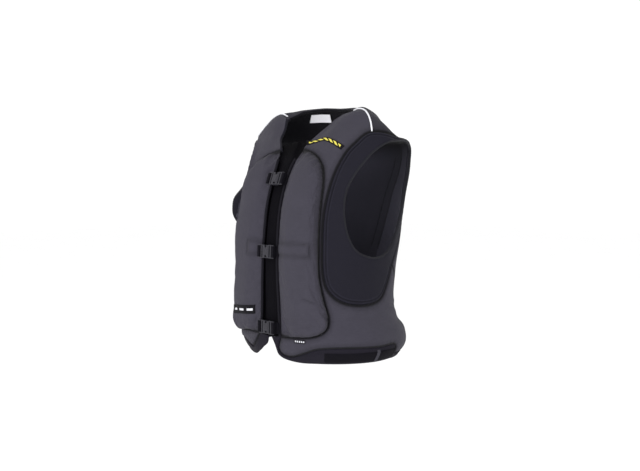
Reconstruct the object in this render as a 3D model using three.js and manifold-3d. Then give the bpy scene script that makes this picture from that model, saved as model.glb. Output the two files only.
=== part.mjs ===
// Airbag vest, as worn: padded grey fronts and back, black stretch sides, three side-release buckles.
// Millimetres, +Z up. The front faces -Y and the wearer's left is +X.
// The origin lies between the shoulders, level with the top of the shoulder seams.
import * as THREE from 'three';
import { mergeVertices } from 'three/addons/utils/BufferGeometryUtils.js';
import Module from 'manifold-3d';

const wasm = await Module();
wasm.setup();

// Driving sizes
const seamGap = 0.3; // every panel edge stays this far back from its seam line
const shellThick = 3; // outer panels
const liningTop = -5.9; // lining, measured outward from the shell's outer face
const liningThick = 1.5;
const padEdge = 1.5; // height of the chest pad at its seam
const padRise = 15; // further height at its middle
const bindingWidth = 9; // strip along each front edge
const bindingHeight = 3;
const armBindingWidth = 9; // edge of each armhole
const placketDepth = 8.9; // placket behind the fronts
const placketReach = 13.5; // degrees each side
const placketFlare = 8; // further degrees at the neck
const pipingRadius = 3; // shoulder piping
const webbingWidth = 25; // buckle straps
const webbingThick = 1.2;
const buckleLength = 48;
const buckleHeight = 30;
const buckleRises = { top: -160, middle: -318, bottom: -487 };
const collarRise = 16; // stand of the collar behind the shoulder seams
const collarBack = 5; // its further stand at the back
const saddle = 23; // hollow behind each shoulder seam
const yokeSwell = 8.5; // swell of the front yoke before it
const girthScale = 3.3; // mm of cloth to a degree round the body

// The body of the vest: level sections from hem to neck edge.
// rise: distance up the cloth, level: z, then half width, depth to the front and to the back,
// and how square the front and back halves of the section are (2 is an ellipse)
const sections = [
  [-562, -562, 188, 158, 160, 1.8, 2.2],
  [-538, -538, 204, 162, 180, 1.95, 2.3],
  [-510, -510, 207, 162, 176, 2.1, 2.3],
  [-497, -497, 204, 162, 163, 2.15, 2.3],
  [-482, -482, 198, 162, 144, 2.2, 2.3],
  [-445, -445, 190, 162, 131, 2.25, 2.3],
  [-370, -370, 190, 163, 136, 2.3, 2.3],
  [-290, -290, 198, 160, 150, 2.3, 2.3],
  [-200, -200, 206, 146, 166, 2.3, 2.3],
  [-120, -120, 213, 114, 184, 2.2, 2.3],
  [-70, -72, 215, 84, 182, 2.1, 2.2],
  [-30, -44, 199, 63, 147, 2, 2.1],
  [15, -20, 162, 48, 108, 2, 2],
  [60, 3, 120, 37, 84, 2, 2],
  [95, -8, 90, 32, 66, 2, 2],
].map(([rise, level, halfWidth, front, back, frontSquare, backSquare]) => (
  { rise, level, halfWidth, front, back, frontSquare, backSquare }));

// Seam lines of the wearer's left half, as points: angle round from centre front (degrees), rise
const neckLine = [[90, 76], [79.7, 63], [70, 39], [62.9, 17], [51, -23], [38.6, -53], [29, -74.5], [22.5, -90]];
const collarLine = [[90, 76], [97, 87], [108, 91.5], [130, 92], [155, 92], [180, 92]];
// fall of the front yoke towards the neck edge: angle, rise of the edge there, drop at the edge
const yokeFall = [[-1, -90, 0], [22.5, -90, 0], [28.7, -72, 2.4], [38.4, -52, 6], [50.9, -20, 11], [62.9, 18, 15.5],
  [70, 38, 17], [79.7, 60, 13], [88, 74, 9], [95, 84, 2], [104, 92, 0], [181, 93, 0]];
const frontEdge = [[22.5, -90], [15.5, -116], [11.5, -150], [9.9, -200], [9.2, -250], [9.2, -300],
  [9.5, -350], [10.2, -400], [11, -450], [12, -505]];
const padTop = [[22.5, -90], [29.5, -93.5], [36.5, -101], [42.5, -113], [46, -133]];
const padShoulder = [[42.5, -113], [46, -133], [46.2, -165], [44.8, -200], [43.6, -238], [43, -300]];
const padSide = [
  [44.8, -200], [43.6, -238], [42.8, -300], [43, -366], [46.3, -420], [49.5, -458], [48, -482],
];
const padBottom = [[46.3, -420], [49.5, -458], [47.5, -484], [39, -498], [26, -503], [12, -505]];
const hemSeam = [[12, -505], [9.3, -530], [13, -546], [22, -550], [33, -539], [43, -528], [60, -524],
  [84, -526], [118, -529]];
const hemEdge = [[1.6, -509], [6.2, -528], [9, -546], [15, -556], [28, -562], [44, -562], [62, -562],
  [84, -562], [118, -562]];
const backSeam = [[118, -529], [119, -493], [118.6, -457], [116.8, -421], [112.3, -386], [102, -350]];

// The black side panel lies between two rings: its outer seam and the armhole.
// outer angle, outer rise, hole angle, hole rise
const armRings = [
  [80, -48, 87, -80], // shoulder tip, end of the piping
  [70, -78, 80, -96],
  [62, -106, 74.5, -116],
  [54.5, -146, 67.5, -147],
  [49.5, -190, 61.8, -182],
  [46.4, -238, 59.8, -222], // where the front narrows beside the pad
  [45.4, -300, 61, -262],
  [46, -366, 64, -292],
  [50.5, -403, 68, -311],
  [61, -426, 74, -322], // foot of the pad
  [77, -432, 82, -328],
  [90, -421, 90, -324],
  [97, -388, 96.5, -309],
  [102, -350, 101.5, -286], // peak of the lower side
  [110, -306, 106, -256],
  [117.5, -258, 110, -226],
  [124.5, -205, 114, -190],
  [129, -155, 117, -152],
  [130, -112, 118.5, -119],
  [126, -79, 118, -93],
  [117, -62.5, 112.5, -79],
  [105, -57, 105, -72],
  [92, -54, 95, -74],
];
const ringRow = { shoulder: 0, narrow: 5, foot: 9, peak: 13 };

const looks = {
  shell: { color: 0x4a4853, roughness: 0.85, metalness: 0 },
  stretch: { color: 0x272630, roughness: 0.8, metalness: 0 },
  lining: { color: 0x16151a, roughness: 0.95, metalness: 0 },
  trim: { color: 0x303136, roughness: 0.7, metalness: 0 },
  webbing: { color: 0x1b1a22, roughness: 0.75, metalness: 0 },
  buckle: { color: 0x3d3c42, roughness: 0.45, metalness: 0 },
  reflective: { color: 0xe6e6ea, roughness: 0.4, metalness: 0 },
  label: { color: 0xdcdae2, roughness: 0.7, metalness: 0 },
};

// Smooth value of each section column at a rise
const columns = ['level', 'halfWidth', 'front', 'back', 'frontSquare', 'backSquare'];

function slopeAt(row, column) {
  const before = sections[Math.max(row - 1, 0)];
  const here = sections[row];
  const after = sections[Math.min(row + 1, sections.length - 1)];
  const low = here.rise - before.rise;
  const high = after.rise - here.rise;
  if (low === 0) return (after[column] - here[column]) / high;
  if (high === 0) return (here[column] - before[column]) / low;
  const rising = low * low * after[column] + (high * high - low * low) * here[column];
  return (rising - high * high * before[column]) / (low * high * (low + high));
}

const slopes = sections.map((_, row) => columns.map((column) => slopeAt(row, column)));

function sectionAt(rise) {
  let row = 0;
  while (row < sections.length - 2 && rise > sections[row + 1].rise) row += 1;
  const from = sections[row];
  const to = sections[row + 1];
  const span = to.rise - from.rise;
  const t = (rise - from.rise) / span;
  const section = {};
  columns.forEach((column, k) => {
    section[column] = from[column] * (2 * t ** 3 - 3 * t ** 2 + 1)
      + to[column] * (3 * t ** 2 - 2 * t ** 3)
      + span * slopes[row][k] * (t ** 3 - 2 * t ** 2 + t)
      + span * slopes[row + 1][k] * (t ** 3 - t ** 2);
  });
  return section;
}

// The cloth falls to the neck edge in front of each shoulder seam, with a swell beside it.
// Behind the seam it is hollow, then stands up as a collar.
function dipAt(angle, rise) {
  const fromFront = Math.min(Math.abs(angle), Math.abs(360 - angle));
  const { smoothstep, lerp } = THREE.MathUtils;
  const row = Math.max(yokeFall.findIndex(([to]) => to >= fromFront), 1);
  const [from, to] = [yokeFall[row - 1], yokeFall[row]];
  const t = (fromFront - from[0]) / (to[0] - from[0]);
  const edge = lerp(from[1], to[1], t);
  const collar = collarRise * smoothstep(fromFront, 84, 112) + collarBack * smoothstep(fromFront, 112, 150);
  const hollow = saddle * smoothstep(fromFront, 88, 104) * smoothstep(-fromFront, -170, -125);
  const swell = yokeSwell * Math.exp(-(((fromFront - 76) / 14) ** 2) - ((rise - 16) / 30) ** 2);
  return lerp(from[2], to[2], t) * smoothstep(rise, edge - 50, edge)
    + hollow * smoothstep(rise, -72, -20) * smoothstep(-rise, -32, 14)
    - collar * smoothstep(rise, 45, 95) - swell;
}

// Point of the outer face at an angle and rise, and the direction out of the cloth there
function bodyPoint(angle, rise) {
  const turn = THREE.MathUtils.degToRad(angle);
  const side = Math.sin(turn);
  const ahead = Math.cos(turn);
  const { level, halfWidth, front, back, frontSquare, backSquare } = sectionAt(rise);
  const depth = ahead > 0 ? front : back;
  const square = ahead > 0 ? frontSquare : backSquare;
  const sum = (Math.abs(side) / halfWidth) ** square + (Math.abs(ahead) / depth) ** square;
  const reach = sum ** (-1 / square);
  return new THREE.Vector3(reach * side, -reach * ahead, level - dipAt(angle, rise));
}

function outward(angle, rise) {
  const round = bodyPoint(angle + 0.25, rise).sub(bodyPoint(angle - 0.25, rise));
  const up = bodyPoint(angle, rise + 1).sub(bodyPoint(angle, rise - 1));
  return round.cross(up).normalize();
}

function offPoint(angle, rise, height) {
  return bodyPoint(angle, rise).addScaledVector(outward(angle, rise), height);
}

// Points along a seam table, evenly spaced, or between two of its rows
function along(table, count, firstRow = 0, lastRow = table.length - 1) {
  const knots = table.map(([angle, rise]) => new THREE.Vector2(angle * girthScale, rise));
  const line = new THREE.SplineCurve(knots);
  const points = [];
  for (let k = 0; k <= count; k += 1) {
    const t = (firstRow + (lastRow - firstRow) * k / count) / (table.length - 1);
    const { x, y } = line.getPoint(t);
    points.push({ angle: x / girthScale, rise: y });
  }
  return points;
}

function closedRing(angleColumn, riseColumn) {
  const knots = armRings.map((row) => new THREE.Vector3(row[angleColumn] * girthScale, row[riseColumn], 0));
  const ring = new THREE.CatmullRomCurve3(knots, true, 'catmullrom');
  return (row) => {
    const { x, y } = ring.getPoint((row % knots.length) / knots.length);
    return { angle: x / girthScale, rise: y };
  };
}

function ringPart(ring, firstRow, lastRow, steps) {
  const points = [];
  const count = (lastRow - firstRow) * steps;
  for (let k = 0; k <= count; k += 1) points.push(ring(firstRow + k / steps));
  return points;
}

function join(...lines) {
  return lines.flatMap((line, k) => (k === 0 ? line : line.slice(1)));
}

function backward(line) {
  return [...line].reverse();
}

// A seam's own points, thinned out evenly
function resampled(line, count) {
  const points = [];
  for (let k = 0; k <= count; k += 1) points.push(line[Math.round(k * (line.length - 1) / count)]);
  return points;
}

function everySecond(line) {
  return line.filter((_, k) => k % 2 === 0 || k === line.length - 1);
}

function straight(from, to, count) {
  const points = [];
  for (let k = 0; k <= count; k += 1) {
    const t = k / count;
    const between = (key) => from[key] + (to[key] - from[key]) * t;
    points.push({ angle: between('angle'), rise: between('rise') });
  }
  return points;
}

// Moves a seam by a distance across the cloth, in mm, to its left
function shifted(line, distance, closed = false) {
  return line.map((point, k) => {
    const last = line.length - 1;
    const before = closed ? line[(k - 1 + last) % last] : line[Math.max(k - 1, 0)];
    const after = closed ? line[(k + 1) % last] : line[Math.min(k + 1, last)];
    const scale = bodyPoint(point.angle, point.rise).setZ(0).length() * Math.PI / 180;
    const run = (after.angle - before.angle) * scale;
    const way = new THREE.Vector2(run, after.rise - before.rise).normalize();
    return { angle: point.angle - way.y * distance / scale, rise: point.rise + way.x * distance };
  });
}

// A cloth patch stretched between four seams: foot and head run the same way, as do left and right
function stretched(foot, head, left, right) {
  const across = foot.length - 1;
  const up = left.length - 1;
  const rows = [];
  for (let j = 0; j <= up; j += 1) {
    const t = j / up;
    const row = [];
    for (let i = 0; i <= across; i += 1) {
      const s = i / across;
      const blend = (key) => (1 - t) * foot[i][key] + t * head[i][key]
        + (1 - s) * left[j][key] + s * right[j][key]
        - (1 - s) * (1 - t) * foot[0][key] - s * (1 - t) * foot[across][key]
        - (1 - s) * t * head[0][key] - s * t * head[across][key];
      row.push({ angle: blend('angle'), rise: blend('rise'), s, t });
    }
    rows.push(row);
  }
  return rows;
}

// A patch ruled straight from one seam to another
function ruled(from, to, count) {
  const rows = [];
  for (let j = 0; j <= count; j += 1) {
    const t = j / count;
    rows.push(from.map((point, i) => ({
      angle: point.angle + (to[i].angle - point.angle) * t,
      rise: point.rise + (to[i].rise - point.rise) * t,
      s: i / (from.length - 1),
      t,
    })));
  }
  return rows;
}

function window(angleFrom, angleTo, riseFrom, riseTo, across, up) {
  const foot = straight({ angle: angleFrom, rise: riseFrom }, { angle: angleTo, rise: riseFrom }, across);
  const head = straight({ angle: angleFrom, rise: riseTo }, { angle: angleTo, rise: riseTo }, across);
  return ruled(foot, head, up);
}

function otherHalf(rows) {
  return rows.map((row) => row.map((point) => ({ ...point, angle: 360 - point.angle })));
}

// Makes one closed piece of cloth from patches that share seam points.
// outer and inner are heights above the body, numbers or functions of the point.
function sewn(patches, outer, inner, gap = seamGap) {
  const points = [];
  const places = new Map();
  const faces = [];
  const place = (point) => {
    const key = `${point.angle.toFixed(3)} ${point.rise.toFixed(3)}`;
    if (!places.has(key)) {
      places.set(key, points.length);
      points.push(point);
    }
    return places.get(key);
  };
  const area = (a, b, c) => {
    const [p, q, r] = [points[a], points[b], points[c]];
    return (q.angle - p.angle) * (r.rise - p.rise) - (r.angle - p.angle) * (q.rise - p.rise);
  };
  const addFace = (a, b, c) => {
    if (a === b || b === c || c === a) return;
    faces.push(area(a, b, c) > 0 ? [a, b, c] : [a, c, b]);
  };
  for (const rows of patches) {
    for (let j = 0; j + 1 < rows.length; j += 1) {
      for (let i = 0; i + 1 < rows[j].length; i += 1) {
        const [a, b, c, d] = [rows[j][i], rows[j][i + 1], rows[j + 1][i + 1], rows[j + 1][i]].map(place);
        const bent = area(a, b, c) * area(a, c, d) < 0;
        for (const face of bent ? [[a, b, d], [b, c, d]] : [[a, b, c], [a, c, d]]) addFace(...face);
      }
    }
  }
  const edges = new Set(faces.flatMap(([a, b, c]) => [`${a} ${b}`, `${b} ${c}`, `${c} ${a}`]));
  const pairs = [...edges].map((edge) => edge.split(' ').map(Number));
  const rim = pairs.filter(([a, b]) => !edges.has(`${b} ${a}`));
  const spots = points.map((point) => bodyPoint(point.angle, point.rise));
  const ways = points.map((point) => outward(point.angle, point.rise));
  const drawn = points.map(() => []);
  for (const [a, b] of rim) {
    const run = spots[b].clone().sub(spots[a]);
    for (const k of [a, b]) drawn[k].push(ways[k].clone().cross(run).normalize());
  }
  const height = (spec, point) => (typeof spec === 'function' ? spec(point) : spec);
  const layer = (spec) => points.map((point, k) => {
    const spot = spots[k].clone().addScaledVector(ways[k], height(spec, point));
    if (drawn[k].length < 2) return spot;
    const [one, two] = drawn[k];
    return spot.addScaledVector(one.clone().add(two), gap / Math.max(1 + one.dot(two), 0.4));
  });
  const vertices = [...layer(outer), ...layer(inner)];
  const count = points.length;
  const index = faces.flatMap(([a, b, c]) => [a, b, c, count + a, count + c, count + b]);
  for (const [a, b] of rim) index.push(a, count + a, b, b, count + a, count + b);
  return fromVertices(vertices.flatMap((v) => v.toArray()), index);
}

function fromVertices(numbers, index) {
  const geometry = new THREE.BufferGeometry();
  geometry.setAttribute('position', new THREE.Float32BufferAttribute(numbers, 3));
  geometry.setIndex(index);
  geometry.computeVertexNormals();
  return geometry;
}

// The same piece for the wearer's right
function mirrored(geometry) {
  const position = geometry.getAttribute('position');
  const numbers = [...position.array].map((value, k) => (k % 3 === 0 ? -value : value));
  const order = [...geometry.getIndex().array];
  const index = [];
  for (let k = 0; k < order.length; k += 3) index.push(order[k], order[k + 2], order[k + 1]);
  return fromVertices(numbers, index);
}

function plain(geometry) {
  const bare = geometry.clone();
  bare.deleteAttribute('normal');
  bare.deleteAttribute('uv');
  return mergeVertices(bare, 1e-4);
}

function solid(geometry) {
  const bare = plain(geometry);
  return new wasm.Manifold(new wasm.Mesh({
    numProp: 3,
    vertProperties: new Float32Array(bare.getAttribute('position').array),
    triVerts: new Uint32Array(bare.getIndex().array),
  }));
}

function fromSolid(shape) {
  const { vertProperties, triVerts } = shape.getMesh();
  return fromVertices([...vertProperties], [...triVerts]);
}

// Seams, sampled once so that neighbours share their points
const outerRing = closedRing(0, 1);
const holeRing = closedRing(2, 3);
const ringFront = ringPart(outerRing, ringRow.shoulder, ringRow.narrow, 4);
const ringStrip = ringPart(outerRing, ringRow.narrow, ringRow.foot, 2);
const ringFoot = ringPart(outerRing, ringRow.foot, ringRow.peak, 2);
const ringBack = ringPart(outerRing, ringRow.peak, armRings.length, 2);
const ringLine = join(ringFront, ringStrip, ringFoot, ringBack);
const holeLine = join(
  ringPart(holeRing, ringRow.shoulder, ringRow.narrow, 4),
  ringPart(holeRing, ringRow.narrow, armRings.length, 2),
);
const neck = along(neckLine, 5);
const padHead = along(padTop, 8);
const padUpper = along(padShoulder, 7, 1, 4);
const padOuter = along(padSide, 8, 1, 5);
const padFoot = along(padBottom, 8, 1, 5);
const front = along(frontEdge, 15);
const hemSteps = [[8, 0, 5.2], [5, 5.2, 6.1], [8, 6.1, 8]]; // under the pad, its foot, the side panel
const hemFront = join(...hemSteps.map(([count, from, to]) => along(hemSeam, count, from, to)));
const edgeFront = join(...hemSteps.map(([count, from, to]) => along(hemEdge, count, from, to)));
const hemSide = hemFront.at(-1);
const edgeSide = edgeFront.at(-1);
const lowerBack = along(backSeam, 5);
const neckPoint = neck[0];
const collar = along(collarLine, 6);
const tipPoint = ringFront[0];
const shoulder = straight(neckPoint, tipPoint, 5);

function frontPanel() {
  const yokeInner = join(neck, padHead, padUpper);
  const narrow = straight(padOuter[0], ringStrip[0], 5);
  const foot = straight(padOuter.at(-1), ringStrip.at(-1), 5);
  const yoke = stretched(shoulder, narrow, yokeInner, ringFront);
  const strip = stretched(narrow, foot, padOuter, ringStrip);
  const corner = lowerBack.map(() => hemFront[0]);
  const hip = stretched(hemFront, join(backward(padFoot), foot, ringFoot), corner, lowerBack);
  return sewn([yoke, strip, hip], 0, -shellThick);
}

function dome(x) {
  return Math.sqrt(1 - (2 * x - 1) ** 4);
}

function padHeight({ s, t }) {
  return padEdge + padRise * dome(s) * dome(t);
}

function padPatch() {
  return stretched(backward(padFoot), padHead, backward(front), backward(join(padUpper, padOuter)));
}

// Points down the middle of the back, nearly level with those of a side line
function backCentre(line) {
  const from = { angle: 180, rise: line[0].rise };
  const last = line.length - 1;
  const even = straight(from, collar.at(-1), last);
  const lift = 0.75 * (collar.at(-1).rise - neckPoint.rise);
  return even.map(({ angle, rise }, k) => (
    { angle, rise: rise * 0.25 + line[k].rise * 0.75 + lift * (k / last) ** 4 }));
}

function backPanel() {
  const outerSide = join(lowerBack, ringBack, backward(shoulder));
  const centre = backCentre(outerSide);
  const hem = straight(hemSide, centre[0], 6);
  return stretched(hem, collar, outerSide, centre);
}

function backLining() {
  const outerSide = join(everySecond(ringBack), backward(shoulder));
  const centre = backCentre(outerSide);
  const hem = straight(outerSide[0], centre[0], 6);
  return stretched(hem, collar, outerSide, centre);
}

function frontLining() {
  const left = resampled(join(neck, front), 14);
  const right = resampled(join(ringFront, padOuter), 14);
  return ruled(left, right, 3);
}

function sidePanel() {
  const hem = shifted(holeLine, -armBindingWidth, true);
  return sewn([ruled(hem, ringLine, 2)], 0, -shellThick);
}

function armBinding() {
  const hem = shifted(holeLine, -armBindingWidth, true);
  return sewn([ruled(holeLine, hem, 1)], 1.2, -shellThick - 1);
}

function hemBand() {
  const seamBack = straight(hemSide, { angle: 180, rise: -529 }, 7);
  const edgeBack = straight(edgeSide, { angle: 180, rise: -562 }, 7);
  const half = ruled(join(edgeFront, edgeBack), join(hemFront, seamBack), 2);
  return sewn([half, otherHalf(half)], 0, -shellThick);
}

function frontBinding() {
  const edge = front.slice(2);
  return sewn([ruled(shifted(edge, -bindingWidth), edge, 1)], bindingHeight, -shellThick);
}

function placket() {
  const rises = straight({ angle: 0, rise: -503 }, { angle: 0, rise: -92 }, 13);
  const reach = (rise) => placketReach + placketFlare * THREE.MathUtils.smoothstep(rise, -140, -100);
  const rows = [-1, 0, 1].map((side) => rises.map(({ rise }) => ({ angle: side * reach(rise), rise })));
  return sewn([rows], -placketDepth, -placketDepth - 2);
}

function shoulderPiping() {
  const spine = straight(neckPoint, { angle: tipPoint.angle, rise: tipPoint.rise + 3 }, 9)
    .map(({ angle, rise }) => offPoint(angle, rise, pipingRadius + 0.5));
  const ring = new THREE.Shape().absarc(0, 0, pipingRadius, 0, Math.PI * 2);
  return plain(new THREE.ExtrudeGeometry(ring, {
    steps: 12, curveSegments: 3, bevelEnabled: false, extrudePath: new THREE.CatmullRomCurve3(spine),
  }));
}

function waistStrap() {
  return sewn([window(46.5, 103.5, -556, -534, 14, 2)], 2.4, 0.9);
}

function strapKeeper() {
  const arch = ({ t }) => (t > 0.1 && t < 0.9 ? 2.9 : 0.7);
  return sewn([window(84, 86, -559.5, -530.5, 1, 8)], (point) => arch(point) + 1.2, arch);
}

// Buckle, lying flat: x across the body, y up, z out of the cloth
const slab = (x0, x1, y0, y1, z0, z1) => {
  const box = new THREE.BoxGeometry(x1 - x0, y1 - y0, z1 - z0);
  return solid(box.translate((x0 + x1) / 2, (y0 + y1) / 2, (z0 + z1) / 2));
};

function plate(x0, x1, halfHeight, corner, z0, z1) {
  const y = halfHeight;
  const outline = new THREE.Shape([
    [x0 + corner, -y], [x1 - corner, -y], [x1, -y + corner], [x1, y - corner],
    [x1 - corner, y], [x0 + corner, y], [x0, y - corner], [x0, -y + corner],
  ].map(([px, py]) => new THREE.Vector2(px, py)));
  const bevel = 0.8;
  const body = new THREE.ExtrudeGeometry(outline, {
    depth: z1 - z0 - 2 * bevel,
    bevelSize: bevel, bevelThickness: bevel, bevelOffset: -bevel, bevelSegments: 1,
  });
  return solid(body.translate(0, 0, z0 + bevel));
}

const buckleFloor = 4.9;
const buckleTop = 13.3;
const tongueLevel = 9.1;
const mouth = 6;
const halfLength = buckleLength / 2;
const halfTall = buckleHeight / 2;

function buckleSocket() {
  let body = plate(-halfLength, mouth, halfTall, 3, buckleFloor, buckleTop);
  body = body.subtract(slab(-halfLength + 3.5, -halfLength + 7, -halfTall + 2, halfTall - 2, 0, 20));
  body = body.subtract(slab(-13, mouth + 1, -12.5, 12.5, tongueLevel - 2.6, tongueLevel + 2.6));
  for (const side of [-1, 1]) {
    const [low, high] = side > 0 ? [9.5, 20] : [-20, -9.5];
    body = body.subtract(slab(-12, 0, low, high, 0, 20));
  }
  return fromSolid(body);
}

function bucklePlug() {
  const [low, high] = [buckleFloor + 0.7, buckleTop - 0.7];
  let body = plate(mouth + 0.5, halfLength, halfTall, 3, low, high);
  body = body.subtract(slab(halfLength - 6.5, halfLength - 3.5, -halfTall + 2, halfTall - 2, 0, 20));
  body = body.subtract(slab(halfLength - 12.5, halfLength - 9.5, -halfTall + 2, halfTall - 2, 0, 20));
  for (const side of [-1, 1]) {
    const span = (a, b) => (side > 0 ? [a, b] : [-b, -a]);
    const prong = slab(-11.5, mouth + 2, ...span(7.5, 11.8), tongueLevel - 2.1, tongueLevel + 2.1);
    const thumb = slab(-11.5, -0.5, ...span(9.9, 14.6), tongueLevel - 3.6, tongueLevel + 3.6);
    body = body.add(prong).add(thumb);
  }
  return fromSolid(body);
}

// Webbing from the front edge, up through the slot and back over the end bar
function buckleStrap(reach) {
  const bar = halfLength - 1.75;
  const route = [
    [reach, 3.95], [bar - 2.6, 3.95], [bar - 3.2, 4.6], [bar - 3.2, 13.6],
    [bar - 2.5, 14.3], [bar + 2.4, 14.3], [bar + 3.1, 13.6], [bar + 3.1, 5.6],
  ].map(([x, z]) => new THREE.Vector2(x, z));
  const half = webbingThick / 2;
  const side = (sign) => route.map((point, k) => {
    const before = route[Math.max(k - 1, 0)];
    const after = route[Math.min(k + 1, route.length - 1)];
    const one = point.clone().sub(before);
    const two = after.clone().sub(point);
    const way = (one.length() ? one.normalize() : two.clone().normalize())
      .add(two.length() ? two.normalize() : new THREE.Vector2()).normalize();
    return new THREE.Vector2(point.x - way.y * half * sign, point.y + way.x * half * sign);
  });
  const ribbon = new THREE.Shape([...side(1), ...side(-1).reverse()]);
  const band = new THREE.ExtrudeGeometry(ribbon, { depth: webbingWidth, bevelEnabled: false });
  return plain(band.rotateX(Math.PI / 2).translate(0, webbingWidth / 2, 0));
}

// Angle of the front edge at a rise
function frontAngle(rise) {
  const row = front.findIndex((point) => point.rise < rise);
  const [above, below] = [front[row - 1], front[row]];
  const t = (rise - above.rise) / (below.rise - above.rise);
  return above.angle + (below.angle - above.angle) * t;
}

// Stands a lying piece on the front edge strips at centre front
function onFront(rise) {
  const out = outward(0, rise);
  const across = new THREE.Vector3(1, 0, 0);
  const up = out.clone().cross(across);
  const middle = bodyPoint(0, rise);
  const sink = bodyPoint(frontAngle(rise) * 0.7, rise).sub(middle).dot(out);
  return new THREE.Matrix4().makeBasis(across, up, out).setPosition(middle.addScaledVector(out, sink));
}

// Blank badges and labels
function chestBadge() {
  const middle = along([[26, -74], [38, -68.5], [49, -67.5], [56, -75.5], [62, -91]], 8);
  return sewn([ruled(shifted(middle, -6), shifted(middle, 6), 1)], 1.8, 0.8);
}

function padBadge() {
  const rows = padPatch();
  const up = rows.length - 1;
  const across = rows[0].length - 1;
  const at = (s, t) => {
    const [i, j] = [Math.min(Math.floor(s * across), across - 1), Math.min(Math.floor(t * up), up - 1)];
    const [u, v] = [s * across - i, t * up - j];
    const mix = (key) => (1 - v) * ((1 - u) * rows[j][i][key] + u * rows[j][i + 1][key])
      + v * ((1 - u) * rows[j + 1][i][key] + u * rows[j + 1][i + 1][key]);
    return { angle: mix('angle'), rise: mix('rise'), s, t };
  };
  const level = (s, rise) => {
    let [low, high] = [0, 0.5];
    for (let k = 0; k < 20; k += 1) {
      const t = (low + high) / 2;
      if (at(s, t).rise < rise) low = t;
      else high = t;
    }
    return at(s, low);
  };
  const patch = [-464, -443].map((rise) => [0.12, 0.23, 0.35, 0.47, 0.58, 0.7].map((s) => level(s, rise)));
  return sewn([patch], (point) => padHeight(point) + 1.9, (point) => padHeight(point) + 0.9);
}

function hemTag() {
  return sewn([window(25, 33.5, -515, -507.5, 3, 1)], 1.6, 0.6);
}

function neckLabel() {
  const floor = liningTop - liningThick;
  return sewn([window(203, 232, 36, 61, 6, 2)], floor - 2.1, floor - 2.9);
}

function pullTab() {
  const [angle, rise] = [-52, -424];
  const out = outward(angle, rise);
  const up = new THREE.Vector3(0, 0, 1).addScaledVector(out, -out.z).normalize();
  const outline = new THREE.Shape([[0.8, -13], [9, -13], [12, -10], [12, 10], [9, 13], [0.8, 13]]
    .map(([x, y]) => new THREE.Vector2(x, y)));
  const tab = new THREE.ExtrudeGeometry(outline, { depth: 2.4, bevelEnabled: false }).translate(0, 0, -1.2);
  const pose = new THREE.Matrix4().makeBasis(out, up, out.clone().cross(up));
  pose.setPosition(bodyPoint(angle, rise));
  return plain(tab).applyMatrix4(pose);
}

// The scene graph
const vest = new THREE.Group();

function add(name, look, geometry) {
  const mesh = new THREE.Mesh(geometry, new THREE.MeshStandardMaterial(looks[look]));
  mesh.name = name;
  vest.add(mesh);
}

function addPair(name, look, geometry) {
  add(`${name}_left`, look, geometry);
  add(`${name}_right`, look, mirrored(geometry));
}

const backHalf = backPanel();
const liningHalf = backLining();
add('back_panel', 'shell', sewn([backHalf, otherHalf(backHalf)], 0, -shellThick));
addPair('front_panel', 'shell', frontPanel());
addPair('chest_pad', 'shell', sewn([padPatch()], padHeight, -shellThick));
addPair('side_panel', 'stretch', sidePanel());
addPair('armhole_binding', 'trim', armBinding());
const liningHalves = [liningHalf, otherHalf(liningHalf)];
add('back_lining', 'lining', sewn(liningHalves, liningTop, liningTop - liningThick, 1));
addPair('front_lining', 'lining', sewn([frontLining()], liningTop, liningTop - liningThick, 1));
add('placket', 'lining', placket());
addPair('front_edge_binding', 'trim', frontBinding());
add('hem_band', 'stretch', hemBand());
addPair('shoulder_piping', 'reflective', shoulderPiping());
addPair('waist_strap', 'webbing', waistStrap());
addPair('strap_keeper', 'trim', strapKeeper());
for (const [name, rise] of Object.entries(buckleRises)) {
  const pose = onFront(rise);
  const strap = buckleStrap(bodyPoint(frontAngle(rise), rise).x - 0.4);
  add(`buckle_socket_${name}`, 'buckle', buckleSocket().applyMatrix4(pose));
  add(`buckle_plug_${name}`, 'buckle', bucklePlug().applyMatrix4(pose));
  add(`buckle_strap_left_${name}`, 'webbing', strap.clone().applyMatrix4(pose));
  add(`buckle_strap_right_${name}`, 'webbing', mirrored(strap).applyMatrix4(pose));
}
add('neck_label', 'label', neckLabel());
add('chest_badge', 'webbing', chestBadge());
add('pad_badge', 'webbing', mirrored(padBadge()));
add('hem_tag', 'label', hemTag());
add('pull_tab', 'webbing', pullTab());

export default vest;
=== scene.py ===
import math
import bmesh
import bpy
import numpy as np
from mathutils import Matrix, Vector


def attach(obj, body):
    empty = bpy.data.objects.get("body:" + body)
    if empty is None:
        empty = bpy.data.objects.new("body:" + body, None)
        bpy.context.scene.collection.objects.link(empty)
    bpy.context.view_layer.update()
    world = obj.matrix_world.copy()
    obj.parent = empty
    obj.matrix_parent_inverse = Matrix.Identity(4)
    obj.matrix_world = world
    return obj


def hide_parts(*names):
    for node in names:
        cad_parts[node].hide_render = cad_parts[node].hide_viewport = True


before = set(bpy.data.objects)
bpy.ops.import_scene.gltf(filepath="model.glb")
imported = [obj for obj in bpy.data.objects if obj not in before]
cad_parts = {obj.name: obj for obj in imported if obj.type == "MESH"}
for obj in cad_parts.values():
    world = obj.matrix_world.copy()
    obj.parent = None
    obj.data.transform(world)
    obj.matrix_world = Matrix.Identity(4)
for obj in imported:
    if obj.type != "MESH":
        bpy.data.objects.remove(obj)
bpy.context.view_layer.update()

scene = bpy.context.scene
mm = 0.001
noSeam = 99.0   # distance given to cloth that has no seam near it

# The vest's shape and seams in mm, close to the solids'. +Z up, front to -Y, the vest's left to +X

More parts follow.
